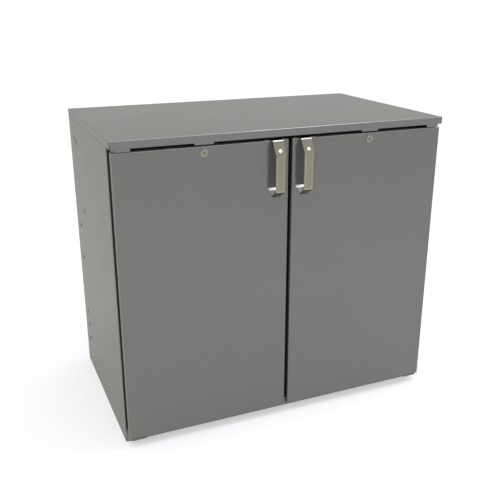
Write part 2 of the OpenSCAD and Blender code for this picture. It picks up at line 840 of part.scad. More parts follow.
module evaporator_drain_pan() {
    t = 1;
    x1 = evap_w / 2 - evap_t;
    z0 = evap_z[0];
    y = [evap_y[0] + evap_t, evap_y[1] - 4];
    color("#d5d6d4") placed() difference() {
        union() {
            difference() {
                block([-x1, x1], y, [z0, z0 + pan_h]);
                block([-x1 + t, x1 - t], [y[0] + t, y[1] - t], [z0 + t, z0 + pan_h + cut]);
            }
            bar_y(drain_x, drain_z, [y[1] - 2, y[1] + 2], drain_dia - 4);
        }
        bar_y(drain_x, drain_z, [y[1] - 4, y[1] + 4], drain_dia - 6);
        // The front of the pan stays low under the fan openings
        for (s = [-1, 1]) bar_y(s * fan_x, fan_z, [y[0] - cut, y[0] + t + cut], opening_dia);
    }
}

// Motors with a three-armed mount that reaches the front plate
module evaporator_motors() {
    arm = opening_dia / 2 + 5;
    color("#3a3b3e") placed() for (s = [-1, 1]) {
        difference() {
            union() {
                bar_y(s * fan_x, fan_z, motor_y, motor_dia);
                bar_y(s * fan_x, fan_z, [motor_y[0] - 1.5, motor_y[0] + 1], shaft_dia + 6);
                for (a = [30, 150, 270]) motor_arm(s * fan_x, a, arm);
            }
            bar_y(s * fan_x, fan_z, [motor_y[0] - 3, motor_y[1] - 4],
                shaft_dia + 2 * shaft_play);
        }
    }
}

// One arm: out from the motor and forward to the front plate
module motor_arm(x, a, arm) {
    d = 5;
    translate([x, 0, fan_z]) rotate([0, a, 0]) {
        bar_x(motor_y[0] + 6, 0, [motor_dia / 2 - 2, arm], d);
        bar_y(arm, 0, [evap_y[0] + evap_t, motor_y[0] + 6], d);
        translate([arm, motor_y[0] + 6, 0]) sphere(d = d);
    }
}

// Round wire guards in front of the fans
module fan_guards() {
    y = evap_y[0] - 3 - guard_wire / 2;
    color("#9a9c9c") placed() for (s = [-1, 1]) translate([s * fan_x, y, fan_z]) {
        for (n = [1 : 4]) rotate([90, 0, 0]) rotate_extrude()
            translate([opening_dia / 2 * (n + 0.5) / 4.6, 0]) circle(d = guard_wire);
        for (a = [0 : 60 : 120]) rotate([0, a, 0]) translate([0, -guard_wire * 0.7, 0])
            rotate([0, 90, 0]) cylinder(h = opening_dia + guard_wire, d = guard_wire,
                center = true);
    }
}

// Fan: a hub with bent sheet blades and its shaft
module fan_blade() {
    r = fan_dia / 2;
    chord = 34;
    bow = 40;
    intersection() {
        rotate([0, 90, 0]) cylinder(h = r, d = chord);
        rotate([blade_pitch, 0, 0]) translate([0, -bow, 0]) rotate([0, 90, 0]) difference() {
            cylinder(h = r, r = bow + 0.7);
            translate([0, 0, -cut]) cylinder(h = r + 2 * cut, r = bow - 0.7);
        }
        rotate([90, 0, 0]) cylinder(h = 4 * fan_len, r = r, center = true);
    }
}

module fan(x) {
    middle = fan_y + fan_len / 2;
    color("#2a2b2e") placed() translate([x, middle, fan_z]) {
        difference() {
            union() {
                rotate([90, 0, 0]) cylinder(h = fan_len, d = hub_dia, center = true);
                for (n = [0 : blades - 1]) intersection() {
                    rotate([0, n * 360 / blades, 0]) translate([hub_dia / 2 - 3, 0, 0])
                        fan_blade();
                    rotate([90, 0, 0]) cylinder(h = fan_len, d = fan_dia, center = true);
                }
            }
            rotate([90, 0, 0]) cylinder(h = fan_len + cut, d = hub_dia - 6);
        }
        rotate([-90, 0, 0]) translate([0, 0, -fan_len / 2])
            cylinder(h = motor_y[1] - 8 - fan_y, d = shaft_dia);
        rotate([90, 0, 0]) cylinder(h = fan_len, d = shaft_dia + 6, center = true);
    }
}

module fan_left() fan(-fan_x);
module fan_right() fan(fan_x);

// Pipes leave the evaporator, turn down in the back wall and end under the floor
drain_x = -60;
drain_z = evap_z[0] + 5;
wall_y = back - sheet_t - foam_t / 2;
suction_x = coil_w / 2 + line_out;
liquid_x = suction_x + line_pitch;
suction_z = coil_level(3);
liquid_z = coil_level(1);
valve_z = coil_level(3);
stub_top = stub_z + stub_len;

// A pipe that runs back along Y, bends down in the wall and ends at the given height
module wall_pipe(x, y0, z, d, z_end) {
    bend = 1.2 * d;
    bar_y(x, z, [y0, wall_y - bend], d);
    translate([x, wall_y - bend, z - bend]) rotate([90, 0, 90]) rotate_extrude(angle = 90)
        translate([bend, 0]) circle(d = d);
    bar_z(x, wall_y, [z_end, z - bend], d);
}

// Bores that the pipes need in the liner, the insulation and the bottom sheet
module pipe_holes(play) {
    z0 = base_h - cut;
    wall_pipe(drain_x, in_back - 4, drain_z, drain_dia + 2 * play, z0);
    wall_pipe(suction_x, in_back - 4, suction_z, suction_dia + 2 * play, z0);
    wall_pipe(liquid_x, in_back - 4, liquid_z, liquid_dia + 2 * play, z0);
}

module drain_tube() {
    y0 = evap_y[1] - 3.7;
    color("#e4e4e0") placed() difference() {
        union() {
            wall_pipe(drain_x, y0, drain_z, drain_dia, stub_top);
            bar_z(drain_x, wall_y, [stub_z, stub_top + cut], spigot_dia);
        }
        bar_y(drain_x, drain_z, [y0 - cut, y0 + 10], drain_dia - 3.4);
        bar_z(drain_x, wall_y, [stub_z - cut, stub_top + 10], spigot_dia - 4);
    }
}

module suction_line() {
    y0 = coil_row(1);
    color("#b87333") placed() {
        wall_pipe(suction_x, y0 - coil_tube, suction_z, suction_dia, stub_top - cut);
        bar_z(suction_x, wall_y, [stub_z, stub_top], suction_stub_dia);
        bar_x(y0, suction_z, [coil_w / 2 + coil_end + pipe_play, suction_x], coil_tube);
    }
}

module liquid_line() {
    y0 = coil_row(0);
    bend = liquid_dia;
    color("#b87333") placed() {
        wall_pipe(liquid_x, y0 + bend, liquid_z, liquid_dia, stub_top - cut);
        bar_z(liquid_x, wall_y, [stub_z, stub_top], liquid_stub_dia);
        translate([liquid_x, y0 + bend, liquid_z + bend]) rotate([90, 0, 90])
            rotate([0, 0, 180]) rotate_extrude(angle = 90) translate([bend, 0])
                circle(d = liquid_dia);
        bar_z(liquid_x, y0, [liquid_z + bend, valve_z - valve_drop - pipe_play], liquid_dia);
    }
}

// Brass valve between the liquid line and the coil's upper front tube
valve_drop = 20;

module expansion_valve() {
    y = coil_row(0);
    color("#c2a14d") placed() {
        bar_x(y, valve_z, [coil_w / 2 + coil_end + pipe_play, liquid_x], 8);
        translate([liquid_x, y, valve_z - 0.4 * valve_drop])
            cylinder(h = 0.9 * valve_drop, d = 12, $fn = 6);
        bar_z(liquid_x, y, [valve_z - valve_drop, valve_z - 0.35 * valve_drop], 9);
    }
}

// Control box beside the evaporator, with the thermostat and the light switch
box_x = [evap_w / 2 + box_gap, evap_w / 2 + box_gap + box_w];
box_y = [in_back - box_d - 10, in_back - 10];
box_z = [in_roof - box_h, in_roof];
knob_x = box_x[0] + 0.32 * box_w;
knob_z = box_z[0] + box_h / 2;
rocker_x = box_x[0] + 0.78 * box_w;

module control_box() {
    color("#d9d9d4") placed() difference() {
        pillow_block(box_x, box_y, box_z, 3);
        bar_y(knob_x, knob_z, [box_y[0] - cut, box_y[0] + 14], stem_dia + 2 * stem_play);
        block([rocker_x - rocker_w / 2 - 0.5, rocker_x + rocker_w / 2 + 0.5],
            [box_y[0] - cut, box_y[0] + 12],
            [knob_z - rocker_h / 2 - 0.6, knob_z + rocker_h / 2 + 0.6]);
        translate([rocker_x - rocker_w, box_y[0] + 6, knob_z]) rotate([0, 90, 0])
            cylinder(h = 2 * rocker_w, d = 3 + 2 * stem_play);
    }
}

// Knob with a ribbed rim and a pointer ridge
module thermostat_knob() {
    color("#2b2b2d") placed() translate([knob_x, box_y[0], knob_z]) rotate([90, 0, 0]) {
        difference() {
            translate([0, 0, 0.5]) cylinder(h = knob_h - 0.5, d = knob_dia);
            for (a = [0 : 20 : 340]) rotate([0, 0, a]) translate([knob_dia / 2 + 0.8, 0, -cut])
                cylinder(h = knob_h - 2, d = 4);
        }
        translate([-1.5, 0, knob_h]) cube([3, knob_dia / 2 - 1, 1.5]);
        translate([0, 0, -12]) cylinder(h = 13, d = stem_dia);
    }
}

rocker_tilt = 8;

// Rocker: a bar with a shallow V face, turning on a pin in its middle
module light_switch() {
    r = rocker_h / 2;
    color("#1d1d1f") placed() translate([rocker_x, box_y[0] + 6, knob_z]) {
        rotate([rocker_tilt, 0, 0]) translate([-rocker_w / 2, 0, 0]) rotate([90, 0, 90])
            linear_extrude(rocker_w)
            polygon([[-8, r - 2], [-5, 0], [-8, -r + 2], [1, -r + 4], [4, 0], [1, r - 4]]);
        rotate([0, 90, 0]) cylinder(h = rocker_w + 8, d = 3, center = true);
    }
}

// Sensor bulb beside the coil, on a thin capillary from the control box
module thermostat_sensor() {
    capillary = 3;
    bulb = 8;
    bulb_len = 42;
    gap = 0.3;
    x = evap_w / 2 + bulb / 2 + 2;
    y = box_y[0] + box_d / 3;
    z = box_z[1] - bulb;
    middle = z - evap_h * 0.6;
    color("#c8a86a") placed() {
        bar_x(y, z, [evap_w / 2 + gap, box_x[0] - gap], capillary);
        bar_z(x, y, [middle, z], capillary);
        bar_z(x, y, [middle - bulb_len / 2, middle + bulb_len / 2], bulb);
        // Clip to the housing's side
        block([evap_w / 2 + gap, x], [y - bulb / 2 + 1, y + bulb / 2 - 1],
            [middle - bulb / 2, middle + bulb / 2]);
    }
}

// Lamp under the ceiling behind the mullion
lamp_y = [mullion_back + lamp_d / 2, mullion_back + lamp_d * 1.5];
lamp_h = lamp_d * 0.4;
lamp_wall = lamp_d / 13;

module lamp_base() {
    t = lamp_wall;
    color("#dcdcd8") placed() difference() {
        block([-lamp_w / 2, lamp_w / 2], lamp_y, [in_roof - lamp_h, in_roof]);
        block([-lamp_w / 2 + t, lamp_w / 2 - t], [lamp_y[0] + t, lamp_y[1] - t],
            [in_roof - lamp_h - cut, in_roof - 1.5 * t]);
    }
}

module lamp_diffuser() {
    inset = lamp_wall + hole_play;
    w = lamp_d - 2 * inset;
    z = in_roof - lamp_h + 1;
    color("#f4f4ee") placed() {
        translate([-lamp_w / 2 + inset, (lamp_y[0] + lamp_y[1]) / 2, z])
            rotate([0, 90, 0]) intersection() {
                cylinder(h = lamp_w - 2 * inset, d = w);
                translate([0, -w, -cut]) cube([w, 2 * w, lamp_w + 2 * cut]);
            }
        block([-lamp_w / 2 + inset, lamp_w / 2 - inset],
            [lamp_y[0] + inset, lamp_y[1] - inset], [z, in_roof - 1.5 * lamp_wall]);
    }
}

// Junction box for the supply wiring, under the floor
module junction_box() {
    x = [junction_w * 2 / 3, junction_w * 5 / 3];
    y = [back - 2 * lip - junction_d, back - 2 * lip];
    gland_x = x[0] + junction_w / 3;
    gland_z = base_h - junction_h / 2;
    gland_len = 12;
    gland_dia = 24;
    color("#9c9e9e") placed() difference() {
        union() {
            block(x, y, [base_h - junction_h, base_h]);
            bar_y(gland_x, gland_z, [y[1], y[1] + gland_len], gland_dia);
        }
        bar_y(gland_x, gland_z, [y[1] - gland_len, y[1] + gland_len + cut], gland_dia - 8);
    }
}

// Doors. Each piece is drawn for the right-hand side
module door_skin() {
    x = [door_in, door_out];
    z = [door_z, door_top];
    difference() {
        pillow_block(x, [door_front, skin_back], z, skin_r);
        pillow_block([x[0] + skin_t, x[1] - skin_t], [door_front + skin_t, skin_back - skin_t],
            [z[0] + skin_t, z[1] - skin_t], skin_r - skin_t);
        block([x[0] + hem_w, x[1] - hem_w], [skin_back - 2 * skin_t, skin_back + cut],
            [hem_low, z[1] - hem_w]);
        bar_y(lock_x, door_top - lock_drop, [door_front - cut, door_front + skin_t + cut],
            barrel_dia + 2 * hole_play);
        bush_holes();
    }
}

// The lower hem is wide enough to meet the inner panel
hem_low = door_z + panel_low + panel_t + 1;

module door_skin_left() color("#7b7a7c") on_side(-1) door_skin();
module door_skin_right() color("#7b7a7c") on_side(1) door_skin();

// Bores for the hinge bushes at the door's ends
module bush_holes() {
    d = bush_dia + 2 * hole_play;
    bar_z(pivot_x, pivot_y, [door_z - cut, door_z + bush_len + hole_play], d);
    bar_z(pivot_x, pivot_y, [door_top - bush_len - hole_play, door_top + cut], d);
}

lock_z = door_top - lock_drop;
cam_y = [skin_back + 0.7, skin_back + 0.7 + cam_t];
cam_len = lock_drop + top_slot - strike_h - strike_play;

// Room that the lock and the sweep of its cam need inside the door
module lock_pocket() {
    bar_y(lock_x, lock_z, [door_front + skin_t - cut, cam_y[1] + 2], barrel_dia + 8);
    bar_y(lock_x, lock_z, [cam_y[0] - 1, cam_y[1] + 1], 2 * cam_len + 2);
    block([lock_x - cam_len - 1, lock_x + cam_len + 1], [cam_y[0] - 1, cam_y[1] + 1],
        [lock_z, door_top + cut]);
}

module door_foam() {
    deep = skin_back + panel_d - panel_t;
    difference() {
        union() {
            pillow_block([door_in + skin_t, door_out - skin_t],
                [door_front + skin_t, skin_back - skin_t],
                [door_z + skin_t, door_top - skin_t], skin_r - skin_t);
            block([door_in + panel_set + panel_t, door_out - panel_set - panel_t],
                [skin_back - skin_t - cut, deep],
                [door_z + panel_low + panel_t, door_top - panel_set - panel_t]);
        }
        // The skin's hem lies around the core
        difference() {
            block([door_in, door_out], [skin_back - skin_t, skin_back], [door_z, door_top]);
            block([door_in + hem_w, door_out - hem_w], [skin_back - 2 * skin_t, skin_back + cut],
                [hem_low, door_top - hem_w]);
        }
        lock_pocket();
        bush_holes();
        boss_room(0);
    }
}

module door_foam_left() color("#e8dfb8") on_side(-1) door_foam();
module door_foam_right() color("#e8dfb8") on_side(1) door_foam();

// Black moulded inner panel with a raised middle and a groove for the gasket
module door_panel() {
    x = [door_in + panel_set, door_out - panel_set];
    z = [door_z + panel_low, door_top - panel_set];
    difference() {
        union() {
            block(x, [skin_back, panel_back], z);
            pan_ledge(x, z);
            // Bosses around the hinge bushes
            for (end = [[door_z, z[0] + panel_t], [door_top - bush_len - boss_wall, door_top]])
                block([pivot_x - boss_w / 2, pivot_x + boss_w / 2], [skin_back, panel_back],
                    end);
        }
        difference() {
            block([x[0] + panel_t, x[1] - panel_t], [skin_back - cut, panel_back - panel_t],
                [z[0] + panel_t, z[1] - panel_t]);
            boss_room(0);
        }
        lock_slot();
        bush_holes();
    }
}

// The space that the two bosses take up inside the panel
module boss_room(play) {
    block([pivot_x - boss_w / 2 - play, door_out], [skin_back - skin_t, panel_back],
        [door_top - bush_len - boss_wall - play, door_top]);
}

boss_w = bush_dia + 6;
boss_wall = 3;

// Raised middle of the inner panel
module pan_ledge(x, z) {
    high = 8;
    translate([0, panel_back - cut, 0]) mirror([0, 1, 0]) translate([0, -high - cut, 0])
        pillow_block([x[0] + ledge_set, x[1] - ledge_set], [0, high + cut],
            [z[0] + ledge_set, z[1] - ledge_set], 4);
}

// Slot in the panel's upper edge through which the cam rises
module lock_slot() {
    block([lock_x - cam_len - 1, lock_x + cam_len + 1], [skin_back - cut, cam_y[1] + 1],
        [lock_z - cam_len - 1, door_top + cut]);
    bar_y(lock_x, lock_z, [skin_back - cut, cam_y[1] + 2], barrel_dia + 8);
}

module door_panel_left() color("#1a1a1c") on_side(-1) door_panel();
module door_panel_right() color("#1a1a1c") on_side(1) door_panel();

// Gasket: a foot, a narrow bellows and a wide magnet bar
module door_gasket() {
    g = panel_set + gasket_set;
    x = [door_in + g, door_out - g];
    z = [door_z + panel_low + gasket_set / 2, door_top - g];
    foot = gasket_d * 0.25;
    bellows = gasket_d * 0.35;
    w = gasket_w;
    frame_block([x[0] + 1, x[1] - 1], [panel_back, panel_back + foot], [z[0] + 1, z[1] - 1],
        w - 2);
    frame_block([x[0] + 3, x[1] - 3], [panel_back + foot - 0.1, panel_back + foot + bellows],
        [z[0] + 3, z[1] - 3], w - 6);
    frame_block(x, [panel_back + foot + bellows - 0.1, gasket_back], z, w);
}

module door_gasket_left() color("#19191b") on_side(-1) door_gasket();
module door_gasket_right() color("#19191b") on_side(1) door_gasket();

// Handle: a strip bent over the door's top edge, down a slope, along the grip and back
grip_x = door_in + grip_set;

// Points of the strip's outer face, with the bends rounded by arcs
function turn_arc(centre, r, a0, a1) =
    [for (n = [0 : 6]) let (a = a0 + (a1 - a0) * n / 6)
        [centre[0] + r * cos(a), centre[1] + r * sin(a)]];

// The point where an arc of radius r fits into the corner b between a and c
function corner(a, b, c, r) =
    let (u = (a - b) / norm(a - b), v = (c - b) / norm(c - b),
        half = acos(u * v) / 2, m = (u + v) / norm(u + v), centre = b + m * r / sin(half),
        s = centre - u * (u * (centre - b)), p = b + u * (r / tan(half)),
        q = b + v * (r / tan(half)), pa = atan2(p[1] - centre[1], p[0] - centre[0]),
        raw = atan2(q[1] - centre[1], q[0] - centre[0]) - pa,
        sweep = raw > 180 ? raw - 360 : raw < -180 ? raw + 360 : raw)
    turn_arc(centre, r, pa, pa + sweep);

// The same corner moved to the strip's inner face
function inset(a, b, c, t) =
    let (u = (a - b) / norm(a - b), v = (c - b) / norm(c - b), half = acos(u * v) / 2)
    b + (u + v) / norm(u + v) * t / sin(half);

module strip_profile() {
    t = grip_t;
    knee = door_top - knee_drop;
    low = knee - grip_len;
    top = door_top + flange_t;
    fall = [grip_out, -return_h];
    // Outer face from the door's top over the bends to a point inside the door
    p = [[door_front + flange_set + 2, top], [door_front - bend_out, top],
        [door_front - grip_out, knee], [door_front - grip_out, low],
        [door_front - grip_out, low] + fall * 1.2];
    q = [for (n = [1 : 3]) inset(p[n - 1], p[n], p[n + 1], t)];
    q0 = [p[0][0], top - t];
    q4 = q[2] + fall * 1.2;
    difference() {
        polygon(concat([p[0]], corner(p[0], p[1], p[2], bend_r[0]),
            corner(p[1], p[2], p[3], bend_r[1]), corner(p[2], p[3], p[4], bend_r[2]),
            [p[4], q4], corner(q4, q[2], q[1], bend_r[2] - t + 1),
            corner(q[2], q[1], q[0], bend_r[1] - t + 1),
            corner(q[1], q[0], q0, bend_r[0] - t + 1), [q0]));
        translate([door_front, door_z]) square([skin_d, door_top - door_z]);
    }
}

// Outer radii of the bends at the top, the knee and the foot
bend_r = [4, 9, 5];

module handle() {
    knee = door_top - knee_drop;
    low = knee - grip_len;
    top = door_top + flange_t;
    g = grip_w / 2;
    s = slope_w / 2;
    f = foot_w / 2;
    difference() {
        intersection() {
            translate([grip_x - s - cut, 0, 0]) rotate([90, 0, 90])
                linear_extrude(slope_w + 2 * cut) strip_profile();
            translate([grip_x, 0, 0]) rotate([90, 0, 0]) linear_extrude(2 * top_d, center = true)
                polygon([[-s, top + cut], [-s, knee + 4], [-g, knee - 4], [-g, low + 2],
                    [-f, low - return_h - cut], [f, low - return_h - cut], [g, low + 2],
                    [g, knee - 4], [s, knee + 4], [s, top + cut]]);
        }
        // Bevels along both edges of the grip
        for (side = [-1, 1]) translate([grip_x, door_front - grip_out, low + 2])
            linear_extrude(grip_len - 8)
                polygon([[side * (g + cut), -cut], [side * (g - bevel_w), -cut],
                    [side * (g - bevel_w), 0], [side * g, bevel_d], [side * (g + cut), bevel_d]]);
    }
    block([grip_x - flange_w / 2, grip_x + flange_w / 2],
        [door_front + flange_set, skin_back - 1], [door_top, top]);
    // Domed stud on the slope
    slope = atan2(grip_out - bend_out, knee_drop + flange_t);
    y_stud = door_front - bend_out - (grip_out - bend_out) * (stud_drop + flange_t)
        / (knee_drop + flange_t);
    translate([grip_x, y_stud, door_top - stud_drop]) rotate([90 - slope, 0, 0])
        domed_stud();
}

module domed_stud() {
    r = (pow(stud_dia / 2, 2) + pow(stud_h, 2)) / (2 * stud_h);
    intersection() {
        translate([0, 0, stud_h - r]) sphere(r = r);
        translate([0, 0, -0.5]) cylinder(h = stud_h + 1, d = stud_dia);
    }
}

module handle_left() color("#8c8b7e") on_side(-1) handle();
module handle_right() color("#8c8b7e") on_side(1) handle();

module hinge_bushes() {
    for (z = [[door_z, door_z + bush_len], [door_top - bush_len, door_top]]) difference() {
        bar_z(pivot_x, pivot_y, z, bush_dia);
        bar_z(pivot_x, pivot_y, [z[0] - cut, z[1] + cut], pin_dia + 2 * pin_play);
    }
}

module hinge_bushes_left() color("#e6e4da") on_side(-1) hinge_bushes();
module hinge_bushes_right() color("#e6e4da") on_side(1) hinge_bushes();

// Lock barrel: a collar on the door's face, a sleeve and its nut behind the skin
module lock_barrel() {
    difference() {
        union() {
            bar_y(lock_x, lock_z, [door_front - collar_t, door_front], collar_dia);
            bar_y(lock_x, lock_z, [door_front - collar_t, cam_y[0] - 0.4], barrel_dia);
            translate([lock_x, door_front + skin_t, lock_z]) rotate([-90, 0, 0])
                cylinder(h = 4, d = barrel_dia + 7, $fn = 6);
        }
        bar_y(lock_x, lock_z, [door_front - collar_t - cut, cam_y[0] + cut],
            plug_dia + 2 * plug_play);
    }
}

module lock_barrel_left() color("#8f8e83") on_side(-1) lock_barrel();
module lock_barrel_right() color("#8f8e83") on_side(1) lock_barrel();

// Turning plug with its key slot, cam and cam screw
module lock_plug() {
    y0 = door_front - collar_t + 0.3;
    tip = cam_len - cam_w / 2;
    difference() {
        bar_y(lock_x, lock_z, [y0, cam_y[0]], plug_dia);
        block([lock_x - key_w / 2, lock_x + key_w / 2], [y0 - cut, y0 + 9],
            [lock_z - key_h / 2 - 0.5, lock_z + key_h / 2 - 0.5]);
    }
    // The cam lies across the door while the lock is open
    bar_y(lock_x, lock_z, cam_y, cam_w + 3);
    block([lock_x - tip, lock_x], cam_y, [lock_z - cam_w / 2, lock_z + cam_w / 2]);
    bar_y(lock_x - tip, lock_z, cam_y, cam_w);
    bar_y(lock_x, lock_z, [cam_y[1] - 0.1, cam_y[1] + 1.6], 7);
}

module lock_plug_left() color("#8f8e83") on_side(-1) lock_plug();
module lock_plug_right() color("#8f8e83") on_side(1) lock_plug();

countertop_skin();
countertop_board();
side_panel_left();
side_panel_right();
rear_panel();
bottom_panel();
front_base_rail();
rear_base_rail();
front_top_rail();
front_sill();
centre_mullion();
mullion_nose();
breaker_frame();
foam_insulation();
inner_liner();
top_hinge_plates();
bottom_hinge_brackets();
hinge_pins();
lock_strikes();
side_hole_plugs();
pilasters();
shelf_clips();
shelf_lower_left();
shelf_lower_right();
shelf_upper_left();
shelf_upper_right();
evaporator_housing();
evaporator_coil();
evaporator_drain_pan();
evaporator_motors();
fan_guards();
fan_left();
fan_right();
drain_tube();
suction_line();
liquid_line();
expansion_valve();
control_box();
thermostat_knob();
light_switch();
thermostat_sensor();
lamp_base();
lamp_diffuser();
junction_box();
door_skin_left();
door_skin_right();
door_foam_left();
door_foam_right();
door_panel_left();
door_panel_right();
door_gasket_left();
door_gasket_right();
handle_left();
handle_right();
hinge_bushes_left();
hinge_bushes_right();
lock_barrel_left();
lock_barrel_right();
lock_plug_left();
lock_plug_right();
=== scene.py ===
# %% [markdown]
# # Back bar cooler with two solid doors
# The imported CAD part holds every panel, door, hinge and lock of the cabinet, all in metres.
# This script gives those pieces their finishes and adds the small parts that CAD leaves out,
# such as screws, the seals' bellows and the close fins of the evaporator. The frame is loaded
# first, because each later cell asks it where things are.

# %% Load the fixed frame
import json
import math

import bmesh
import bpy
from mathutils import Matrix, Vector


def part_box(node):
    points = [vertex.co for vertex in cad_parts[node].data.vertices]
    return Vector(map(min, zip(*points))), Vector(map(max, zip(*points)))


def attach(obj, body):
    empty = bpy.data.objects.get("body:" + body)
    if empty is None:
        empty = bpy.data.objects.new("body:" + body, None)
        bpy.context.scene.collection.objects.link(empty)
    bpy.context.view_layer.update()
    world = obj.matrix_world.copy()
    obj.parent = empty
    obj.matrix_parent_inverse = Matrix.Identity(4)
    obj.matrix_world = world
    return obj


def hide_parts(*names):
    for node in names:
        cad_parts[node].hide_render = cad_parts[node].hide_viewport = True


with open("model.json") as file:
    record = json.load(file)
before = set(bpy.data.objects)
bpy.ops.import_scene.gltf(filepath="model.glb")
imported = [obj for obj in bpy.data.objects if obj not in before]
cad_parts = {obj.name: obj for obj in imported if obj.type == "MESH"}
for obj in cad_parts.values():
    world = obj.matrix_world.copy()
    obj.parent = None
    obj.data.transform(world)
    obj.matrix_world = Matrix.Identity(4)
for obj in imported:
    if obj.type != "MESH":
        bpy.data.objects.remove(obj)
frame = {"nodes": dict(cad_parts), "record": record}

scene = bpy.context.scene
nodes = frame["nodes"]
MM = 0.001
SIDES = ("left", "right")
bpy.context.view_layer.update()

# %% [markdown]
# ## Camera
# The photograph was taken from the front left and a little above. A camera was fitted to the
# cabinet's corners, and its place and turn are written down here, so the render and the
# photograph can be laid over each other. The Standard view transform leaves a colour as it
# is written.

# %% Camera
CAMERA_PLACE = (-0.8511, -2.0005, 1.2360)
CAMERA_TURN = (70.184, 0, -23.043)
LENS, SENSOR = 50, 36

camera_data = bpy.data.cameras.new("studio_camera")
camera_data.lens = LENS
camera_data.sensor_width = SENSOR
camera = bpy.data.objects.new("studio_camera", camera_data)
camera.location = CAMERA_PLACE
camera.rotation_euler = [math.radians(angle) for angle in CAMERA_TURN]
scene.collection.objects.link(camera)
scene.camera = camera
scene.view_settings.view_transform = "Standard"
print("camera at", tuple(round(c, 3) for c in camera.location))

# %% [markdown]
# ## One function for colours, one for nodes
# Blender mixes light in linear numbers, while a colour is given as an sRGB hex value, so
# one function turns one into the other. A second adds a node to any tree, sets it up and
# links it, which keeps the materials below short.


# %% Colour and node helpers
def colour(hex_value):
    """The linear RGBA of an sRGB hex colour."""
    channels = [int(hex_value[i : i + 2], 16) / 255 for i in (1, 3, 5)]
    curve = [c / 12.92 if c <= 0.04045 else ((c + 0.055) / 1.055) ** 2.4 for c in channels]
    return (*curve, 1.0)


def add(tree, kind, inputs=None, **settings):
    """A new node, with its settings, and its inputs filled in or linked."""
    made = tree.nodes.new(kind)
    for name, value in settings.items():
        setattr(made, name, value)
    for key, value in (inputs or {}).items():
        if isinstance(value, bpy.types.NodeSocket):
            tree.links.new(value, made.inputs[key])
        else:
            made.inputs[key].default_value = value
    return made


print("half grey in linear light:", [round(c, 3) for c in colour("#808080")])

# %% [markdown]
# ## Light
# Sheet steel shows whatever stands round it, so the room matters more than the lamps. The
# world is white to the camera and in reflections, and dimmer as a light. A small lamp high on
# the right, in line with the doors' faces, gives the bright lines on the bends, and a broad
# one on the left, a little cooler, keeps the left door as light as the right. Both are far
# enough that the flat sheets barely catch them.


# %% World and lamps
def looked_at(tree):
    """1 for rays from the camera, a reflection or through glass, and 0 for those that light."""
    ray = add(tree, "ShaderNodeLightPath")
    direct = add(tree, "ShaderNodeMath", {0: ray.outputs["Is Camera Ray"],
        1: ray.outputs["Is Glossy Ray"]}, operation="MAXIMUM")
    return add(tree, "ShaderNodeMath", {0: direct.outputs[0],
        1: ray.outputs["Is Transmission Ray"]}, operation="MAXIMUM").outputs[0]


ROOM_LIGHT = 0.72
world = bpy.data.worlds.new("white_room")
world.use_nodes = True
scene.world = world
sky = world.node_tree
sky.nodes.clear()
strength = add(sky, "ShaderNodeMapRange", {"Value": looked_at(sky), "To Min": ROOM_LIGHT,
    "To Max": 1.0})
white = add(sky, "ShaderNodeBackground", {"Color": (1, 1, 1, 1),
    "Strength": strength.outputs["Result"]})
add(sky, "ShaderNodeOutputWorld", {"Surface": white.outputs[0]})


def soft_lamp(name, place, target, size, power, tint):
    """A square area lamp that faces a target."""
    data = bpy.data.lights.new(name, "AREA")
    data.shape = "SQUARE"
    data.color = colour(tint)[:3]
    data.size = size
    data.energy = power
    lamp = bpy.data.objects.new(name, data)
    lamp.location = place
    lamp.rotation_euler = (Vector(target) - Vector(place)).to_track_quat("-Z", "Y").to_euler()
    scene.collection.objects.link(lamp)


soft_lamp("key_lamp", place=(1.28, -0.36, 3.4), target=(0, -0.3, 0.7), size=0.8, power=24,
    tint="#fcfaff")
soft_lamp("fill_lamp", place=(-0.7, -1.2, 3.4), target=(0, 0, 0.6), size=1.4, power=15,
    tint="#dde8ff")

# %% [markdown]
# ## Floor
# The photograph's ground is pure white. The floor is white and gives off a little light of
# its own towards the camera and reflections, so it reaches white in the open, while the
# cabinet's soft shadow still shows under and beside it.

# %% Floor
FLOOR_SIDE = 60
FLOOR_GLOW = 0.45
floor_paint = bpy.data.materials.new("matt_white_floor")
floor_paint.use_nodes = True
paint = floor_paint.node_tree
paint.nodes.clear()
glow = add(paint, "ShaderNodeMath", {0: looked_at(paint), 1: FLOOR_GLOW},
    operation="MULTIPLY")
matt = add(paint, "ShaderNodeBsdfDiffuse", {"Color": colour("#e6e6e6")})
shine = add(paint, "ShaderNodeEmission", {"Strength": glow.outputs[0]})
both = add(paint, "ShaderNodeAddShader", {0: matt.outputs[0], 1: shine.outputs[0]})
add(paint, "ShaderNodeOutputMaterial", {"Surface": both.outputs[0]})

floor_mesh = bpy.data.meshes.new("floor")
half = FLOOR_SIDE / 2
floor_mesh.from_pydata([(-half, -half, 0), (half, -half, 0), (half, half, 0), (-half, half, 0)],
    [], [(0, 1, 2, 3)])
floor = bpy.data.objects.new("floor", floor_mesh)
floor_mesh.materials.append(floor_paint)
scene.collection.objects.link(floor)
print("floor side in m:", FLOOR_SIDE)

# %% [markdown]
# ## Finishes
# Every finish starts from one shader with a base colour, a metal share and a roughness. The
# surface comes from a pattern on Object coordinates, which are metres on these pieces, so a
# pattern's scale is one over its real size. Each family of finishes gets one function.


# %% A plain shader to start from
def start_finish(name, base, metallic, roughness, **more):
    """A material with one Principled shader: (material, tree, shader, metres)."""
    material = bpy.data.materials.new(name)
    material.use_nodes = True
    tree = material.node_tree
    shader = tree.nodes["Principled BSDF"]
    shader.inputs["Base Color"].default_value = colour(base)
    shader.inputs["Metallic"].default_value = metallic
    shader.inputs["Roughness"].default_value = roughness
    for key, value in more.items():
        shader.inputs[key.replace("_", " ")].default_value = value
    metres = add(tree, "ShaderNodeTexCoord").outputs["Object"]
    return material, tree, shader, metres


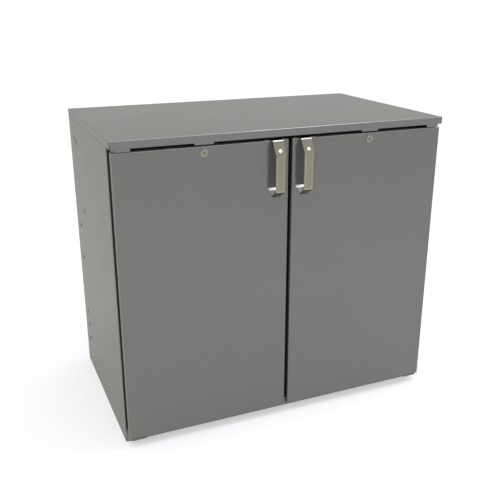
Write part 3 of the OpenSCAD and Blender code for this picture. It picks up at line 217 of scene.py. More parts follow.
def vary(tree, shader, pattern, base, spread, roughness, rough_spread):
    """Lets a 0 to 1 pattern shift the colour's lightness and the roughness."""
    tint = add(tree, "ShaderNodeMapRange", {"Value": pattern, "To Min": 1 - spread,
        "To Max": 1 + spread})
    shade = add(tree, "ShaderNodeHueSaturation", {"Color": colour(base),
        "Value": tint.outputs["Result"]})
    rough = add(tree, "ShaderNodeMapRange", {"Value": pattern,
        "To Min": roughness - rough_spread, "To Max": roughness + rough_spread})
    tree.links.new(shade.outputs["Color"], shader.inputs["Base Color"])
    tree.links.new(rough.outputs["Result"], shader.inputs["Roughness"])


def raise_surface(tree, shader, pattern, height):
    """Turns a pattern into a slight relief of a real height in metres."""
    bump = add(tree, "ShaderNodeBump", {"Height": pattern, "Distance": height,
        "Strength": 1.0})
    tree.links.new(bump.outputs["Normal"], shader.inputs["Normal"])


print("helpers:", ", ".join(f.__name__ for f in (start_finish, vary, raise_surface)))

# %% [markdown]
# ## Brushed stainless steel
# The sheets are stainless steel brushed with a fine belt: long hairlines one way, and a soft
# sheen across them. The hairlines are a noise that is stretched along the grain. Real ones
# are about 0.1 mm apart, too fine for this picture, so they are drawn 0.8 mm apart. A broad,
# faint cloud stands for the film that hands and cloths leave. Seen along the sheet, the
# hairlines shade one another, so the edge tint keeps the top and the sides from going white.
# The doors are ground finer than the rest: they mirror the handles sharply, but the fine
# scratches scatter most of the light every way, so that mirror image stays grey, as in the
# photograph.


# %% Brushed sheet
EDGE_SHADE = 0.8
HAIR_STRETCH = 160  # a hairline is this many times as long as hairlines are apart
HAND_FILM = 0.22  # width in metres of the clouds of the film
ALONG_X, ALONG_Z = 0, 2


def brushed(name, base, grain, roughness, hairline=0.8 * MM, metallic=1.0, depth=0.004 * MM):
    """Metal with hairlines along one axis, a given distance apart and deep, in metres."""
    material, tree, shader, metres = start_finish(name, base, metallic, roughness,
        Specular_Tint=(EDGE_SHADE, EDGE_SHADE, EDGE_SHADE, 1))
    scales = [1 / hairline] * 3
    scales[grain] = 1 / (HAIR_STRETCH * hairline)
    lines = add(tree, "ShaderNodeMapping", {"Vector": metres, "Scale": scales})
    hairs = add(tree, "ShaderNodeTexNoise", {"Vector": lines.outputs[0], "Scale": 1.0,
        "Detail": 2.0})
    film = add(tree, "ShaderNodeTexNoise", {"Vector": metres, "Scale": 1 / HAND_FILM,
        "Detail": 3.0, "Roughness": 0.6})
    both = add(tree, "ShaderNodeMath", {0: hairs.outputs["Fac"], 1: film.outputs["Fac"]},
        operation="ADD")
    pattern = add(tree, "ShaderNodeMath", {0: both.outputs[0], 1: 0.5}, operation="MULTIPLY")
    vary(tree, shader, pattern.outputs[0], base, spread=0.05, roughness=roughness,
        rough_spread=0.06)
    raise_surface(tree, shader, hairs.outputs["Fac"], depth)
    return material


# The worktop is ground along its length, which spreads the room into a soft even sheen
worktop_steel = brushed("brushed_stainless_worktop", "#7c7b76", ALONG_X, roughness=0.34)
# The doors' finer grind keeps a clear but grey mirror image of the handles
door_steel = brushed("brushed_stainless_doors", "#7b7976", ALONG_Z, roughness=0.13,
    metallic=0.38, depth=0.0004 * MM)
# The side panels have a coarser, slightly warmer finish that blurs what stands beside them
side_steel = brushed("brushed_stainless_sides", "#7f7d73", ALONG_Z, roughness=0.36)
# The handles' strip is satin ground after bending: tight hairlines and a sharper shine
strip_steel = brushed("satin_stainless_strip", "#898779", ALONG_Z, roughness=0.22,
    hairline=0.6 * MM)
# Zinc plating leaves pressed plates a dull even grey
plated_steel = brushed("zinc_plated_plate", "#7b7a79", ALONG_X, roughness=0.4,
    hairline=1.2 * MM)
# Chrome that is buffed without a grain mirrors the white room as a bright spot
polished_chrome = brushed("polished_chrome_stud", "#f2f2f4", ALONG_Z, roughness=0.12,
    hairline=3 * MM, depth=0)
# Round bar ground to size is pale and bright
ground_steel = brushed("ground_steel_pin", "#c4c4c2", ALONG_Z, roughness=0.16,
    hairline=0.5 * MM)
# The locks are die cast and nickel plated, a warm satin grey
cast_nickel = brushed("satin_nickel_lock", "#8e8d81", ALONG_X, roughness=0.28,
    hairline=0.4 * MM)
# Aluminium as it leaves the mill is almost white, with a soft shine
mill_aluminium = brushed("mill_finish_aluminium", "#c6c8ca", ALONG_X, roughness=0.36,
    hairline=1.0 * MM)
# Drawn copper tube is reddish, with fine lines from the die
drawn_copper = brushed("drawn_copper_tube", "#c4825c", ALONG_Z, roughness=0.3,
    hairline=0.7 * MM)
# Turned brass is yellow and keeps the tool's fine marks
turned_brass = brushed("turned_brass", "#bfa25c", ALONG_Z, roughness=0.28,
    hairline=0.5 * MM)
print("metals:", ", ".join(metal.name for metal in (worktop_steel, door_steel, side_steel,
    strip_steel, plated_steel, polished_chrome, ground_steel, cast_nickel, mill_aluminium,
    drawn_copper, turned_brass)))

# %% [markdown]
# ## Painted light by the way faces look
# The thin bright lines along the bends, where a sheet turns over a front edge, are painted
# highlights: a bend isn't a piece of its own, so the finish finds it by the way its faces
# look and lightens its colour there. That thin line is what makes a folded sheet read as
# metal and not as a painted box. Other faces get painted light and shade the same way: the
# worktop's front and ends, the rim on the doors' tops, the handles' edges and the inside of
# their foot. The handles' backs get a pale, cool painted reflection for the doors to mirror.

# %% Tones by direction
FULL_TONE = 0.65  # share of the reach within which the new tone is complete


def tilted(tilt, turn=0):
    """A direction in degrees: tilt 0 faces forward, 90 up, 180 back; turn is sideways."""
    tilt, turn = math.radians(tilt), math.radians(turn)
    level = math.cos(tilt)
    return (level * math.sin(turn), -level * math.cos(turn), math.sin(tilt))


def tone_faces(material, tone, *faces):
    """Changes the colour of faces that look a given way: (direction, reach in degrees)."""
    tree = material.node_tree
    shader = tree.nodes["Principled BSDF"]
    normal = add(tree, "ShaderNodeTexCoord").outputs["Normal"]
    base = shader.inputs["Base Color"].links[0].from_socket
    for direction, reach in faces:
        facing = add(tree, "ShaderNodeVectorMath", {0: normal, 1: direction},
            operation="DOT_PRODUCT")
        share = add(tree, "ShaderNodeMapRange", {"Value": facing.outputs["Value"],
            "From Min": math.cos(math.radians(reach)),
            "From Max": math.cos(math.radians(reach * FULL_TONE))})
        mixed = add(tree, "ShaderNodeMix", {"Factor": share.outputs["Result"], "A": base},
            data_type="RGBA")
        mixed.inputs["B"].default_value = colour(tone)
        base = mixed.outputs["Result"]
    tree.links.new(base, shader.inputs["Base Color"])


# The worktop: a painted highlight on the bend along its front edge, and painted light and
# shade that set its front face and its two ends apart
tone_faces(worktop_steel, "#9c9b9f", (tilted(45), 36))
tone_faces(worktop_steel, "#7b7a7a", (tilted(0), 12))
tone_faces(worktop_steel, "#7c7b72", (tilted(0, -90), 30), (tilted(0, 90), 30))
# The doors: a painted highlight on the bend along their top edge, and painted light on the
# rim folded in there, which lies in the worktop's shade
tone_faces(door_steel, "#a9a9ae", (tilted(45), 36))
tone_faces(door_steel, "#c9c9d6", (tilted(90), 12))
# The handles: painted highlights on the top bend, the foot's bend and the eased edges,
# painted light on the foot's inside, and a painted reflection on the back
tone_faces(strip_steel, "#dadad8", (tilted(60), 26))
tone_faces(strip_steel, "#b8b6aa", (tilted(-11), 9))
tone_faces(strip_steel, "#959383", (tilted(0, -15), 12), (tilted(0, 15), 12))
tone_faces(strip_steel, "#8f8f92", (tilted(126), 20))
tone_faces(strip_steel, "#dcd7f6", (tilted(180), 30))
print("toned:", ", ".join(m.name for m in (worktop_steel, door_steel, strip_steel)))

# %% [markdown]
# ## Second finishes, painted shade and a painted highlight
# Each side panel is folded in behind its door's edge, and that fold is painted black as
# painted shade, so that from the side the gap round a door reads as one dark line. The black
# covers a box of Object coordinates: the fold's front face, from the base rail up and as far
# out as the bend. The same function draws the bead of grey sealant that closes the joint
# between the side panels and the worktop, the open seam at the worktop's front corners,
# painted shade on the doors' outer edges, which are made a matt grey, and a painted highlight
# inside each handle's foot. The doors mirror that highlight as a white stroke.


# %% Finishes inside a box
FACING_REACH = 25


def coat_or_painted_light_where(material, inside, base, roughness, metallic=0.0, facing=None):
    """Mixes a second finish over the first wherever every (axis, low, high) test holds; some
    are real coats and joints, others painted shade and highlights.

    A test reads the distance from the middle, so both sides are alike. Facing limits the
    finish to faces that look within FACING_REACH degrees of a direction.
    """
    tree = material.node_tree
    metres = add(tree, "ShaderNodeTexCoord").outputs["Object"]
    axes = add(tree, "ShaderNodeSeparateXYZ", {0: metres})
    tests = []
    for axis, low, high in inside:
        place = add(tree, "ShaderNodeMath", {0: axes.outputs[axis]}, operation="ABSOLUTE")
        for limit, side in ((low, "GREATER_THAN"), (high, "LESS_THAN")):
            tests.append(add(tree, "ShaderNodeMath", {0: place.outputs[0], 1: limit},
                operation=side).outputs[0])
    if facing:
        normal = add(tree, "ShaderNodeTexCoord").outputs["Normal"]
        along = add(tree, "ShaderNodeVectorMath", {0: normal, 1: facing},
            operation="DOT_PRODUCT")
        tests.append(add(tree, "ShaderNodeMath", {0: along.outputs["Value"],
            1: math.cos(math.radians(FACING_REACH))}, operation="GREATER_THAN").outputs[0])
    share = tests[0]
    for test in tests[1:]:
        share = add(tree, "ShaderNodeMath", {0: share, 1: test},
            operation="MULTIPLY").outputs[0]
    coat = add(tree, "ShaderNodeBsdfPrincipled", {"Base Color": colour(base),
        "Roughness": roughness, "Metallic": metallic})
    output = tree.nodes["Material Output"]
    plain = output.inputs["Surface"].links[0].from_socket
    mixed = add(tree, "ShaderNodeMixShader", {0: share, 1: plain, 2: coat.outputs[0]})
    tree.links.new(mixed.outputs[0], output.inputs["Surface"])


# %% Where the second finishes lie
ANYWHERE = 1  # metres, further out than any piece
SHEET, MARGIN = 1.2 * MM, 0.1 * MM

# Painted shade on the side panels' front folds, a black that darkens the gap round each
# door, and the bead of sealant along their tops
BEND, SHADE_FOOT = 2.6 * MM, 42 * MM
side_low, side_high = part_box("side_panel_right")
face_y, outer_x = -side_low.y, side_high.x
fold = [("X", 0, outer_x - BEND), ("Y", face_y - SHEET - MARGIN, face_y + MARGIN),
    ("Z", SHADE_FOOT, ANYWHERE)]
coat_or_painted_light_where(side_steel, fold, "#2b2b30", roughness=0.5)
bead = [("Z", side_high.z - SHEET - MARGIN, ANYWHERE)]
coat_or_painted_light_where(side_steel, bead, "#4b4a46", roughness=0.6)

# The open seams at the worktop's front corners
SEAM = 1.8 * MM
slab_low, slab_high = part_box("countertop_skin")
seam = [("X", slab_high.x - SEAM, ANYWHERE),
    ("Y", -slab_low.y - SEAM, -slab_low.y + 10 * MARGIN), ("Z", 0, slab_high.z - SHEET)]
coat_or_painted_light_where(worktop_steel, seam, "#2e2e31", roughness=0.6)

# Painted shade on the doors' outer edges: a matt grey that darkens their side faces
DOOR_EDGE = 60 * MM
for turn in (-90, 90):
    coat_or_painted_light_where(door_steel, [("X", outer_x - DOOR_EDGE, ANYWHERE)], "#94938c", roughness=0.9,
        facing=tilted(0, turn))

# The painted highlight inside each handle's foot, which the doors mirror as a white stroke:
# how far behind the grip's front, and above its foot
PATCH_NEAR, PATCH_FAR = 2.2 * MM, 11.5 * MM
PATCH_LOW, PATCH_HIGH = 6 * MM, 26 * MM
strip_front, strip_foot = -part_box("handle_left")[0].y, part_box("handle_left")[0].z
patch = [("Y", strip_front - PATCH_FAR, strip_front - PATCH_NEAR),
    ("Z", strip_foot + PATCH_LOW, strip_foot + PATCH_HIGH)]
coat_or_painted_light_where(strip_steel, patch, "#f6f6ff", roughness=0.12, metallic=1.0, facing=tilted(128))
print("coated folds start behind y =", round(-face_y / MM, 1), "mm")

# %% [markdown]
# ## Galvanised sheet
# The base rails, the back and the shelf strips are hot-dip galvanised. Zinc freezes in
# crystals, the spangle, 5 to 15 mm across, each with its own grey. Voronoi cells give that
# pattern, and a little noise on their coordinates makes their borders less straight.

# %% Galvanised sheet
WOBBLE = 0.6  # how far a border strays, as a share of a crystal's width


def galvanised(name, base, spangle, roughness):
    """Zinc coated sheet with crystals of a real size in metres."""
    material, tree, shader, metres = start_finish(name, base, 0.9, roughness)
    wobble = add(tree, "ShaderNodeTexNoise", {"Vector": metres, "Scale": 1 / spangle})
    bent = add(tree, "ShaderNodeVectorMath", {0: wobble.outputs["Color"],
        1: (spangle * WOBBLE,) * 3}, operation="MULTIPLY")
    place = add(tree, "ShaderNodeVectorMath", {0: metres, 1: bent.outputs[0]},
        operation="ADD")
    cells = add(tree, "ShaderNodeTexVoronoi", {"Vector": place.outputs[0],
        "Scale": 1 / spangle})
    grey = add(tree, "ShaderNodeSeparateColor", {"Color": cells.outputs["Color"]})
    vary(tree, shader, grey.outputs[0], base, spread=0.12, roughness=roughness,
        rough_spread=0.08)
    return material


zinc_sheet = galvanised("galvanised_sheet", "#8f8f8d", spangle=9 * MM, roughness=0.42)
print("galvanised:", zinc_sheet.name)

# %% [markdown]
# ## Paints and powder coats
# Powder coat and enamel lie over the metal as a thin plastic film with a fine orange peel,
# bumps about 1 mm wide. The metal share is zero, because the film is what the eye sees.

# %% Painted surfaces
COAT_CLOUD = 0.15  # width in metres of the faint clouds in a coat


def coated(name, base, roughness, peel=1.2 * MM, height=0.02 * MM, **more):
    """Paint, powder coat or moulded plastic with an even fine relief."""
    material, tree, shader, metres = start_finish(name, base, 0.0, roughness, **more)
    bumps = add(tree, "ShaderNodeTexNoise", {"Vector": metres, "Scale": 1 / peel,
        "Detail": 2.0})
    cloud = add(tree, "ShaderNodeTexNoise", {"Vector": metres, "Scale": 1 / COAT_CLOUD,
        "Detail": 2.0})
    vary(tree, shader, cloud.outputs["Fac"], base, spread=0.06, roughness=roughness,
        rough_spread=0.07)
    raise_surface(tree, shader, bumps.outputs["Fac"], height)
    return material


# Powder on the frame round the opening: satin black
black_powder = coated("black_powder_coat", "#2f2f33", roughness=0.45)
# Coil-coated sheet for the liner: smooth white that is wiped clean
white_coat = coated("white_coated_sheet", "#e2e2df", roughness=0.3, peel=2.0 * MM)
# A thick dipped coat that shines on the shelves' wires
shelf_epoxy = coated("epoxy_coated_wire", "#d2d2cd", roughness=0.28, peel=2.5 * MM,
    Coat_Weight=0.4)
# Baked enamel: black, and a little shinier than powder
motor_enamel = coated("black_motor_enamel", "#303135", roughness=0.32, peel=1.0 * MM)
print("painted:", ", ".join(m.name for m in (black_powder, white_coat, shelf_epoxy,
    motor_enamel)))

# %% [markdown]
# ## Plastics, rubber and foam
# ABS from an etched mould has a fine leathery grain, a polished mould leaves it smooth, and
# the extruded door seal is a soft dull vinyl. The strip between the doors is black, and made
# darker and duller than rubber as painted shade, so the gap reads as black. Blown foam shows
# small closed cells. The worktop's core is chipboard, and its faces that look down are dark.

# %% Moulded and extruded plastics
black_abs = coated("etched_black_abs", "#1f1f22", roughness=0.42, peel=0.9 * MM,
    height=0.03 * MM)
# The nose between the doors: near black and hardly shining, painted shade in the gap
nose_painted_shade = coated("black_nose_painted_shade", "#0b0b0d", roughness=0.9, peel=0.8 * MM,
    Specular_IOR_Level=0.12)
white_abs = coated("polished_white_abs", "#dededa", roughness=0.22, peel=6 * MM,
    height=0.01 * MM)
seal_vinyl = coated("extruded_seal_vinyl", "#26262a", roughness=0.6, peel=1.5 * MM)
# The lamp's cover is frosted, so light spreads a little way inside it
lamp_cover = coated("frosted_lamp_cover", "#f0f0ea", roughness=0.35, peel=3 * MM,
    Subsurface_Weight=0.3)
print("plastics:", ", ".join(m.name for m in (black_abs, nose_painted_shade, white_abs, seal_vinyl,
    lamp_cover)))

# %% Foam and board
CELL_DEPTH = 0.4 * MM
CHIP_SHAPE = 4  # a chip is this many times as long as it is thick


def foamed(name, base, cell):
    """Cut foam: closed cells of a real size, rough and dull."""
    material, tree, shader, metres = start_finish(name, base, 0.0, 0.9)
    cells = add(tree, "ShaderNodeTexVoronoi", {"Vector": metres, "Scale": 1 / cell})
    vary(tree, shader, cells.outputs["Distance"], base, spread=0.12, roughness=0.85,
        rough_spread=0.08)
    raise_surface(tree, shader, cells.outputs["Distance"], CELL_DEPTH)
    return material


def pressed_board(name, base, chip):
    """Chipboard edge: pressed chips, longer than they are thick."""
    material, tree, shader, metres = start_finish(name, base, 0.0, 0.75)
    lying = add(tree, "ShaderNodeMapping", {"Vector": metres,
        "Scale": (1 / chip, 1 / chip, CHIP_SHAPE / chip)})
    chips = add(tree, "ShaderNodeTexVoronoi", {"Vector": lying.outputs[0], "Scale": 1.0})
    grey = add(tree, "ShaderNodeSeparateColor", {"Color": chips.outputs["Color"]})
    vary(tree, shader, grey.outputs[0], base, spread=0.25, roughness=0.75, rough_spread=0.1)
    return material


blown_foam = foamed("blown_polyurethane", "#d8cda2", cell=1.5 * MM)
chipboard = pressed_board("moisture_proof_chipboard", "#a98a5e", chip=6 * MM)
# The core's faces that look down are made darker
tone_faces(chipboard, "#2e2d2c", (tilted(-90), 20))
print("core materials:", blown_foam.name, "and", chipboard.name)

# %% [markdown]
# ## Dressing the CAD nodes
# The imported record says which slot each node takes its finish from, and one table maps slots
# to finishes. A few nodes differ from their slot: the worktop's grain runs along it, the
# lamp's cover is frosted, the strip above the opening is black as painted shade in the slot
# over the doors, the strip below it takes the mullion's black coat, and the nose between the
# doors is near black, painted shade in the gap between them.

# %% Finishes by slot
finish_of_slot = {
    "satin_steel": door_steel, "side_steel": side_steel, "handle_steel": strip_steel,
    "zinc_steel": zinc_sheet, "frame_black": black_powder, "hinge_steel": plated_steel,
    "pin_steel": ground_steel, "black_plastic": black_abs, "gasket_rubber": seal_vinyl,
    "foam": blown_foam, "board": chipboard, "white_liner": white_coat,
    "white_plastic": white_abs, "shelf_wire": shelf_epoxy,
    "aluminium": mill_aluminium, "copper": drawn_copper, "brass": turned_brass,
    "motor_black": motor_enamel, "lock_metal": cast_nickel,
}
# The top rail's black and the nose's near black are painted shade in the slot and the gap
own_finish = {"countertop_skin": worktop_steel, "lamp_diffuser": lamp_cover,
    "front_top_rail": black_powder, "front_sill": black_powder, "mullion_nose": nose_painted_shade}
slot_of_node = {p["node"]: p["material_slot"] for p in frame["record"]["subparts"]}
for name, node in nodes.items():
    finish = own_finish.get(name) or finish_of_slot[slot_of_node[name]]
    node.data.materials.clear()
    node.data.materials.append(finish)
print("dressed nodes:", len(nodes))

# %% [markdown]
# ## Pieces that repeat
# Screws, bolts and fins repeat, so Geometry Nodes make them. A tree makes one of them from
# its sizes and puts it on each point of a seed mesh, turned along the point's axis. The
# result is turned into a plain mesh, which then rides on its body like any other piece.


# %% Growing a piece from points
def new_tree(name, sizes):
    """An empty Geometry Nodes tree with named sizes: (tree, its inputs)."""
    tree = bpy.data.node_groups.new(name, "GeometryNodeTree")
    tree.interface.new_socket("Geometry", in_out="INPUT", socket_type="NodeSocketGeometry")
    for size in sizes:
        tree.interface.new_socket(size, in_out="INPUT", socket_type="NodeSocketFloat")
    tree.interface.new_socket("Finish", in_out="INPUT", socket_type="NodeSocketMaterial")
    tree.interface.new_socket("Geometry", in_out="OUTPUT", socket_type="NodeSocketGeometry")
    return tree, add(tree, "NodeGroupInput").outputs


def end_tree(tree, given, one):
    """Puts one piece on every point, turned along its axis, and gives it its finish."""
    axis = add(tree, "GeometryNodeInputNamedAttribute", {"Name": "axis"},
        data_type="FLOAT_VECTOR")
    turn = add(tree, "FunctionNodeAlignRotationToVector", {"Vector": axis.outputs[0]},
        axis="Z")
    spread = add(tree, "GeometryNodeInstanceOnPoints", {"Points": given["Geometry"],
        "Instance": one, "Rotation": turn.outputs[0]})
    real = add(tree, "GeometryNodeRealizeInstances", {0: spread.outputs[0]})
    done = add(tree, "GeometryNodeSetMaterial", {0: real.outputs[0],
        "Material": given["Finish"]})
    add(tree, "NodeGroupOutput", {0: done.outputs[0]})
    return tree


def grow(name, tree, spots, body, finish, sizes):
    """A piece made by a tree on (place, axis) spots, riding on a body."""
    seed = bpy.data.meshes.new(name + "_seed")
    seed.from_pydata([place for place, _ in spots], [], [])
    axes = seed.attributes.new("axis", "FLOAT_VECTOR", "POINT")
    for point, (_, axis) in zip(axes.data, spots):
        point.vector = axis
    piece = bpy.data.objects.new(name, seed)
    scene.collection.objects.link(piece)
    modifier = piece.modifiers.new("grow", "NODES")
    modifier.node_group = tree
    values = {**sizes, "Finish": finish}
    for socket in tree.interface.items_tree:
        if socket.in_out == "INPUT" and socket.name in values:
            modifier[socket.identifier] = values[socket.name]
    graph = bpy.context.evaluated_depsgraph_get()
    piece.data = bpy.data.meshes.new_from_object(piece.evaluated_get(graph))
    piece.modifiers.remove(modifier)
    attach(piece, body)
    print(name, "has", len(spots), "spots and", len(piece.data.polygons), "faces")


# %% [markdown]
# ## Cross-head screws
# Sheet parts are held by pan-head screws with a cross recess. One head is a low cone with
# its tip cut off, and two crossed bars are cut out of it for the driver. A few sizes of it
# do for the whole cabinet, so the head's width and height are inputs, and its other sizes
# are shares of these two.

# %% Screw tree
screws, given = new_tree("pan_head_screws", ["Head diameter", "Head height"])
shares = {"foot radius": ("Head diameter", 0.5), "crown radius": ("Head diameter", 0.36),
    "bar length": ("Head diameter", 0.56), "bar width": ("Head diameter", 0.13),
    "bar depth": ("Head height", 1.4)}
head_size = {part: add(screws, "ShaderNodeMath", {0: given[size], 1: share},
    operation="MULTIPLY").outputs[0] for part, (size, share) in shares.items()}
head = add(screws, "GeometryNodeMeshCone", {"Vertices": 20,
    "Radius Top": head_size["crown radius"], "Radius Bottom": head_size["foot radius"],
    "Depth": given["Head height"]}).outputs["Mesh"]
lift = add(screws, "ShaderNodeCombineXYZ", {2: given["Head height"]})
for wide, deep in (("bar length", "bar width"), ("bar width", "bar length")):
    size = add(screws, "ShaderNodeCombineXYZ", {0: head_size[wide], 1: head_size[deep],
        2: head_size["bar depth"]})
    bar = add(screws, "GeometryNodeMeshCube", {"Size": size.outputs[0]})
    raised = add(screws, "GeometryNodeTransform", {"Geometry": bar.outputs[0],
        "Translation": lift.outputs[0]})
    head = add(screws, "GeometryNodeMeshBoolean", {"Mesh 1": head,
        "Mesh 2": raised.outputs[0]}, operation="DIFFERENCE").outputs[0]
end_tree(screws, given, head)
print("screw tree:", len(screws.nodes), "nodes")

# %% [markdown]
# ## Where the screws go
# The back sheet is screwed down every 150 mm or so. The evaporator's front plate has three
# screws along its top and three along its foot, the control box has two, and each slotted
# shelf strip has one at either end. The handles are held by two screws in the flange that
# lies on the door's top. All places come from the boxes of the nodes that are held.


# %% Screws of the back sheet
def even(start, end, count):
    """Evenly spaced numbers from start to end."""
    return [start + (end - start) * i / (count - 1) for i in range(count)]


BACKWARD, FORWARD = Vector((0, 1, 0)), Vector((0, -1, 0))
RIGHT, UP = Vector((1, 0, 0)), Vector((0, 0, 1))
BACK_EDGE, BACK_ROW = 14 * MM, 7
rear_low, rear_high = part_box("rear_panel")
ends_x = (rear_low.x + BACK_EDGE, rear_high.x - BACK_EDGE)
ends_z = (rear_low.z + BACK_EDGE, rear_high.z - BACK_EDGE)
back_places = [(x, z) for x in even(*ends_x, BACK_ROW) for z in ends_z]
back_places += [(x, z) for z in even(*ends_z, BACK_ROW)[1:-1] for x in ends_x]
back_spots = [(Vector((x, rear_high.y, z)), BACKWARD) for x, z in back_places]
grow("back_screws", screws, back_spots, "cabinet", zinc_sheet,
    {"Head diameter": 9 * MM, "Head height": 2.6 * MM})

# %% Screws inside the cabinet
MOUTH_RIM = 3 * MM  # the fan mouths stand this far out of the front plate
PLATE_SIDE, PLATE_EDGE, BOX_EDGE = 10 * MM, 8 * MM, 9 * MM
housing_low, housing_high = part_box("evaporator_housing")
plate_spots = [(Vector((x, housing_low.y + MOUTH_RIM, z)), FORWARD)
    for x in (housing_low.x + PLATE_SIDE, 0, housing_high.x - PLATE_SIDE)
    for z in (housing_low.z + PLATE_EDGE, housing_high.z - PLATE_EDGE)]
control_low, control_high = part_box("control_box")
plate_spots += [(Vector((x, control_low.y, control_high.z - BOX_EDGE)), FORWARD)
    for x in (control_low.x + BOX_EDGE, control_high.x - BOX_EDGE)]
grow("inside_screws", screws, plate_spots, "cabinet", zinc_sheet,
    {"Head diameter": 7 * MM, "Head height": 2.0 * MM})

# %% Screws of the shelf strips
STRIP_DEPTH, STRIP_SET, STRIP_END = 6 * MM, 70 * MM, 11 * MM
SHELF_PLAY = 5 * MM
strip_low, strip_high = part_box("pilasters")
side_rows = (strip_low.y + STRIP_DEPTH + SHELF_PLAY + STRIP_SET, strip_high.y - STRIP_SET)
strip_spots = []
for z in (strip_low.z + STRIP_END, strip_high.z - STRIP_END):
    strip_spots.append((Vector((0, strip_high.y - STRIP_DEPTH, z)), FORWARD))
    strip_spots.append((Vector((0, strip_low.y + STRIP_DEPTH, z)), BACKWARD))
    for y in side_rows:
        strip_spots.append((Vector((strip_high.x - STRIP_DEPTH, y, z)), -RIGHT))
        strip_spots.append((Vector((strip_low.x + STRIP_DEPTH, y, z)), RIGHT))
grow("shelf_strip_screws", screws, strip_spots, "cabinet", zinc_sheet,
    {"Head diameter": 7 * MM, "Head height": 1.8 * MM})

# %% Screws of the handles
FLANGE_REACH, FLANGE_EDGE = 26 * MM, 7 * MM
for side in SIDES:
    flange_low, flange_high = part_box(f"handle_{side}")
    middle = (flange_low.x + flange_high.x) / 2
    flange_spots = [(Vector((middle + off, flange_high.y - FLANGE_EDGE, flange_high.z)), UP)
        for off in (-FLANGE_REACH, FLANGE_REACH)]
    grow(f"flange_screws_{side}", screws, flange_spots, f"door_{side}", plated_steel,
        {"Head diameter": 6.5 * MM, "Head height": 1.6 * MM})

# %% [markdown]
# ## Bolts of the bottom hinges
# Each bottom bracket is bolted to the base rail through its upright flange, under the door.
# A hexagon head is a six-sided cylinder, and the round washer under it spreads the load.

# %% Hexagon bolts
WASHER_DEPTH = 2.4 * MM
bolts, given = new_tree("hexagon_bolts", ["Across corners", "Head height", "Washer"])
halves = {size: add(bolts, "ShaderNodeMath", {0: given[size], 1: 0.5},
    operation="MULTIPLY").outputs[0] for size in ("Across corners", "Head height", "Washer")}
six_sides = add(bolts, "GeometryNodeMeshCylinder", {"Vertices": 6,
    "Radius": halves["Across corners"], "Depth": given["Head height"]})
lift = add(bolts, "ShaderNodeCombineXYZ", {2: halves["Head height"]})
head = add(bolts, "GeometryNodeTransform", {"Geometry": six_sides.outputs["Mesh"],
    "Translation": lift.outputs[0]})
washer = add(bolts, "GeometryNodeMeshCylinder", {"Vertices": 24, "Radius": halves["Washer"],
    "Depth": WASHER_DEPTH})
bolt = add(bolts, "GeometryNodeJoinGeometry")
bolts.links.new(head.outputs[0], bolt.inputs[0])
bolts.links.new(washer.outputs["Mesh"], bolt.inputs[0])
end_tree(bolts, given, bolt.outputs[0])

BRACKET_SHEET, BOLT_HEIGHT = 3 * MM, 37 * MM
BOLTS_IN = (29 * MM, 43 * MM)  # from the bracket's outer end
bracket_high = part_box("bottom_hinge_brackets")[1]
flange_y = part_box("front_base_rail")[0].y - BRACKET_SHEET
bolt_spots = [(Vector((end * (bracket_high.x - inwards), flange_y, BOLT_HEIGHT)), FORWARD)
    for end in (-1, 1) for inwards in BOLTS_IN]
grow("bracket_bolts", bolts, bolt_spots, "cabinet", plated_steel,
    {"Across corners": 9 * MM, "Head height": 4 * MM, "Washer": 11 * MM})

# %% [markdown]
# ## Polished studs
# The domed stud on each handle is turned, and its crown is buffed, so it mirrors the whole
# white room and is the brightest spot on the cabinet. A thin chrome crown over the CAD dome
# gives it that finish. Its place is found from the boxes of the strip and the door skin.

# %% Buffed crowns
crowns, given = new_tree("stud_crowns", ["Width", "Length", "Height"])
ball = add(crowns, "GeometryNodeMeshUVSphere", {"Segments": 32, "Rings": 20,
    "Radius": 1.0})
crown_size = add(crowns, "ShaderNodeCombineXYZ", {0: given["Width"], 1: given["Length"],
    2: given["Height"]})
crown = add(crowns, "GeometryNodeTransform", {"Geometry": ball.outputs["Mesh"],
    "Scale": crown_size.outputs[0]})
smooth = add(crowns, "GeometryNodeSetShadeSmooth", {"Geometry": crown.outputs[0]})
end_tree(crowns, given, smooth.outputs[0])

SLOPE = math.radians(30.6)
STUD_BEHIND, STUD_DROP = 4.9 * MM, 25.5 * MM  # from the grip's front and the door's top
slope_axis = Vector((0, -math.cos(SLOPE), math.sin(SLOPE)))
for side in SIDES:
    grip_low, grip_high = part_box(f"handle_{side}")
    skin_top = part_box(f"door_skin_{side}")[1].z
    stud_foot = Vector(((grip_low.x + grip_high.x) / 2, grip_low.y + STUD_BEHIND,
        skin_top - STUD_DROP))
    grow(f"stud_crown_{side}", crowns, [(stud_foot, slope_axis)], f"door_{side}",
        polished_chrome,
        {"Width": 6.4 * MM, "Length": 5.2 * MM, "Height": 3.3 * MM})

# %% [markdown]
# ## Door seals
# The seal is one extruded vinyl strip, mitred and welded at the corners. Its section has a
# foot on the inner panel, a folded bellows, and a flat bulb that holds the magnet. Each
# point of the section becomes a rectangle round the door, so the mitres come out exact, and
# neighbouring rectangles are joined by faces.

# %% Door seals
SEAL_WIDTH = 14 * MM
# Half the section from the panel outwards: inset as a share of the width, then height as a
# share of the depth. Foot, bellows, bulb.
HALF_SECTION = [(0.10, 0.0), (0.10, 0.10), (0.16, 0.16),
    (0.28, 0.20), (0.18, 0.30), (0.30, 0.38), (0.18, 0.47), (0.28, 0.56),
    (0.06, 0.62), (0.0, 0.68), (0.0, 0.92), (0.05, 1.0)]
OTHER_HALF = [(1 - inset, height) for inset, height in reversed(HALF_SECTION)]


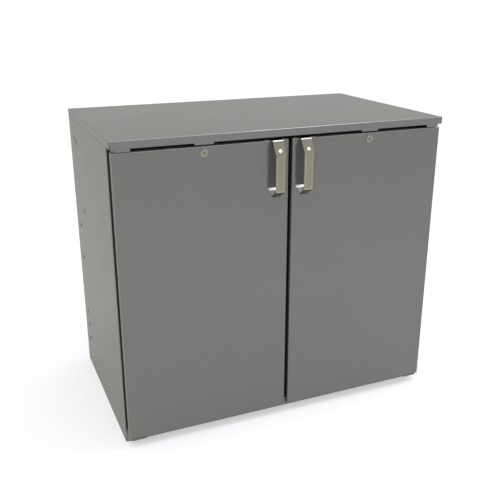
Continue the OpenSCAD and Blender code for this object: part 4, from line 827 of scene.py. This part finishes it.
def make_seal(side):
    """The seal of one door, in the place of its CAD solid."""
    low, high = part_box(f"door_gasket_{side}")
    mesh = bmesh.new()
    loops = []
    for inset_share, height_share in HALF_SECTION + OTHER_HALF:
        inset = inset_share * SEAL_WIDTH
        y = low.y + height_share * (high.y - low.y)
        corners = [(low.x + inset, low.z + inset), (high.x - inset, low.z + inset),
            (high.x - inset, high.z - inset), (low.x + inset, high.z - inset)]
        loops.append([mesh.verts.new((x, y, z)) for x, z in corners])
    for here, there in zip(loops, loops[1:] + loops[:1]):
        for i in range(4):
            mesh.faces.new((here[i], here[i - 1], there[i - 1], there[i]))
    bmesh.ops.recalc_face_normals(mesh, faces=mesh.faces)
    data = bpy.data.meshes.new(f"seal_{side}")
    mesh.to_mesh(data)
    mesh.free()
    data.materials.append(seal_vinyl)
    seal = bpy.data.objects.new(f"seal_{side}", data)
    scene.collection.objects.link(seal)
    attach(seal, f"door_{side}")
    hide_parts(f"door_gasket_{side}")
    return seal


for side in SIDES:
    print(make_seal(side).name, "replaces its CAD solid")

# %% [markdown]
# ## Evaporator fins
# A coil's fins are thin aluminium plates, here 4.4 mm apart. The CAD solid has them 11 mm
# apart, which is enough for its shape, so the close ones are added between them. One tree
# makes flat plates of any size, and it also makes the marks and the pointer further down.


# %% Plate tree and fins
def plate_tree(name):
    """A tree of flat plates: the height lies across the axis, the thickness along it."""
    tree, given = new_tree(name, ["Depth", "Height", "Thickness"])
    size = add(tree, "ShaderNodeCombineXYZ", {0: given["Height"], 1: given["Depth"],
        2: given["Thickness"]})
    plate = add(tree, "GeometryNodeMeshCube", {"Size": size.outputs[0]})
    return end_tree(tree, given, plate.outputs[0])


FIN_PITCH, FIN_INSET = 4.4 * MM, 1 * MM
HANGER = 12 * MM  # the coil's hangers rise this far above the fins
BEND_REACH = 24 * MM  # the tubes' return bends stand out past the fins
coil_low, coil_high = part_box("evaporator_coil")
fin_top = coil_high.z - HANGER
fin_from, fin_to = coil_low.x + BEND_REACH, coil_high.x - BEND_REACH
middle_y = (coil_low.y + coil_high.y) / 2
fin_spots = [(Vector((fin_from + i * FIN_PITCH, middle_y, (coil_low.z + fin_top) / 2)), RIGHT)
    for i in range(int((fin_to - fin_from) / FIN_PITCH))]
grow("coil_fins", plate_tree("coil_fins"), fin_spots, "cabinet", mill_aluminium,
    {"Depth": coil_high.y - coil_low.y - FIN_INSET,
     "Height": fin_top - coil_low.z - FIN_INSET, "Thickness": 0.3 * MM})

# %% [markdown]
# ## Marks of the thermostat
# A dial without marks can't be set. Eleven printed strokes stand round the knob, over the
# 270 degrees that it turns, and a white line on its grip shows where it points. Print has
# hardly any thickness, so each stroke is a plate that stands 0.2 mm proud of the box.

# %% Dial marks and pointer
MARKS, MARK_RADIUS, POINTER_RADIUS = 11, 22 * MM, 8 * MM
KNOB_TURN = 135
knob_low, knob_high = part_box("thermostat_knob")
knob_x, knob_z = (knob_low.x + knob_high.x) / 2, (knob_low.z + knob_high.z) / 2
dial_middle = Vector((knob_x, control_low.y, knob_z))
mark_spots = []
for turn in even(-KNOB_TURN, KNOB_TURN, MARKS):
    outward = Vector((math.sin(math.radians(turn)), 0, math.cos(math.radians(turn))))
    mark_spots.append((dial_middle + outward * MARK_RADIUS, outward))
grow("dial_marks", plate_tree("dial_marks"), mark_spots, "cabinet", black_abs,
    {"Depth": 0.4 * MM, "Height": 1.2 * MM, "Thickness": 4 * MM})
grow("knob_pointer", plate_tree("knob_pointer"),
    [(Vector((knob_x, knob_low.y, knob_z + POINTER_RADIUS)), UP)], "knob", white_abs,
    {"Depth": 0.4 * MM, "Height": 1.4 * MM, "Thickness": 13 * MM})
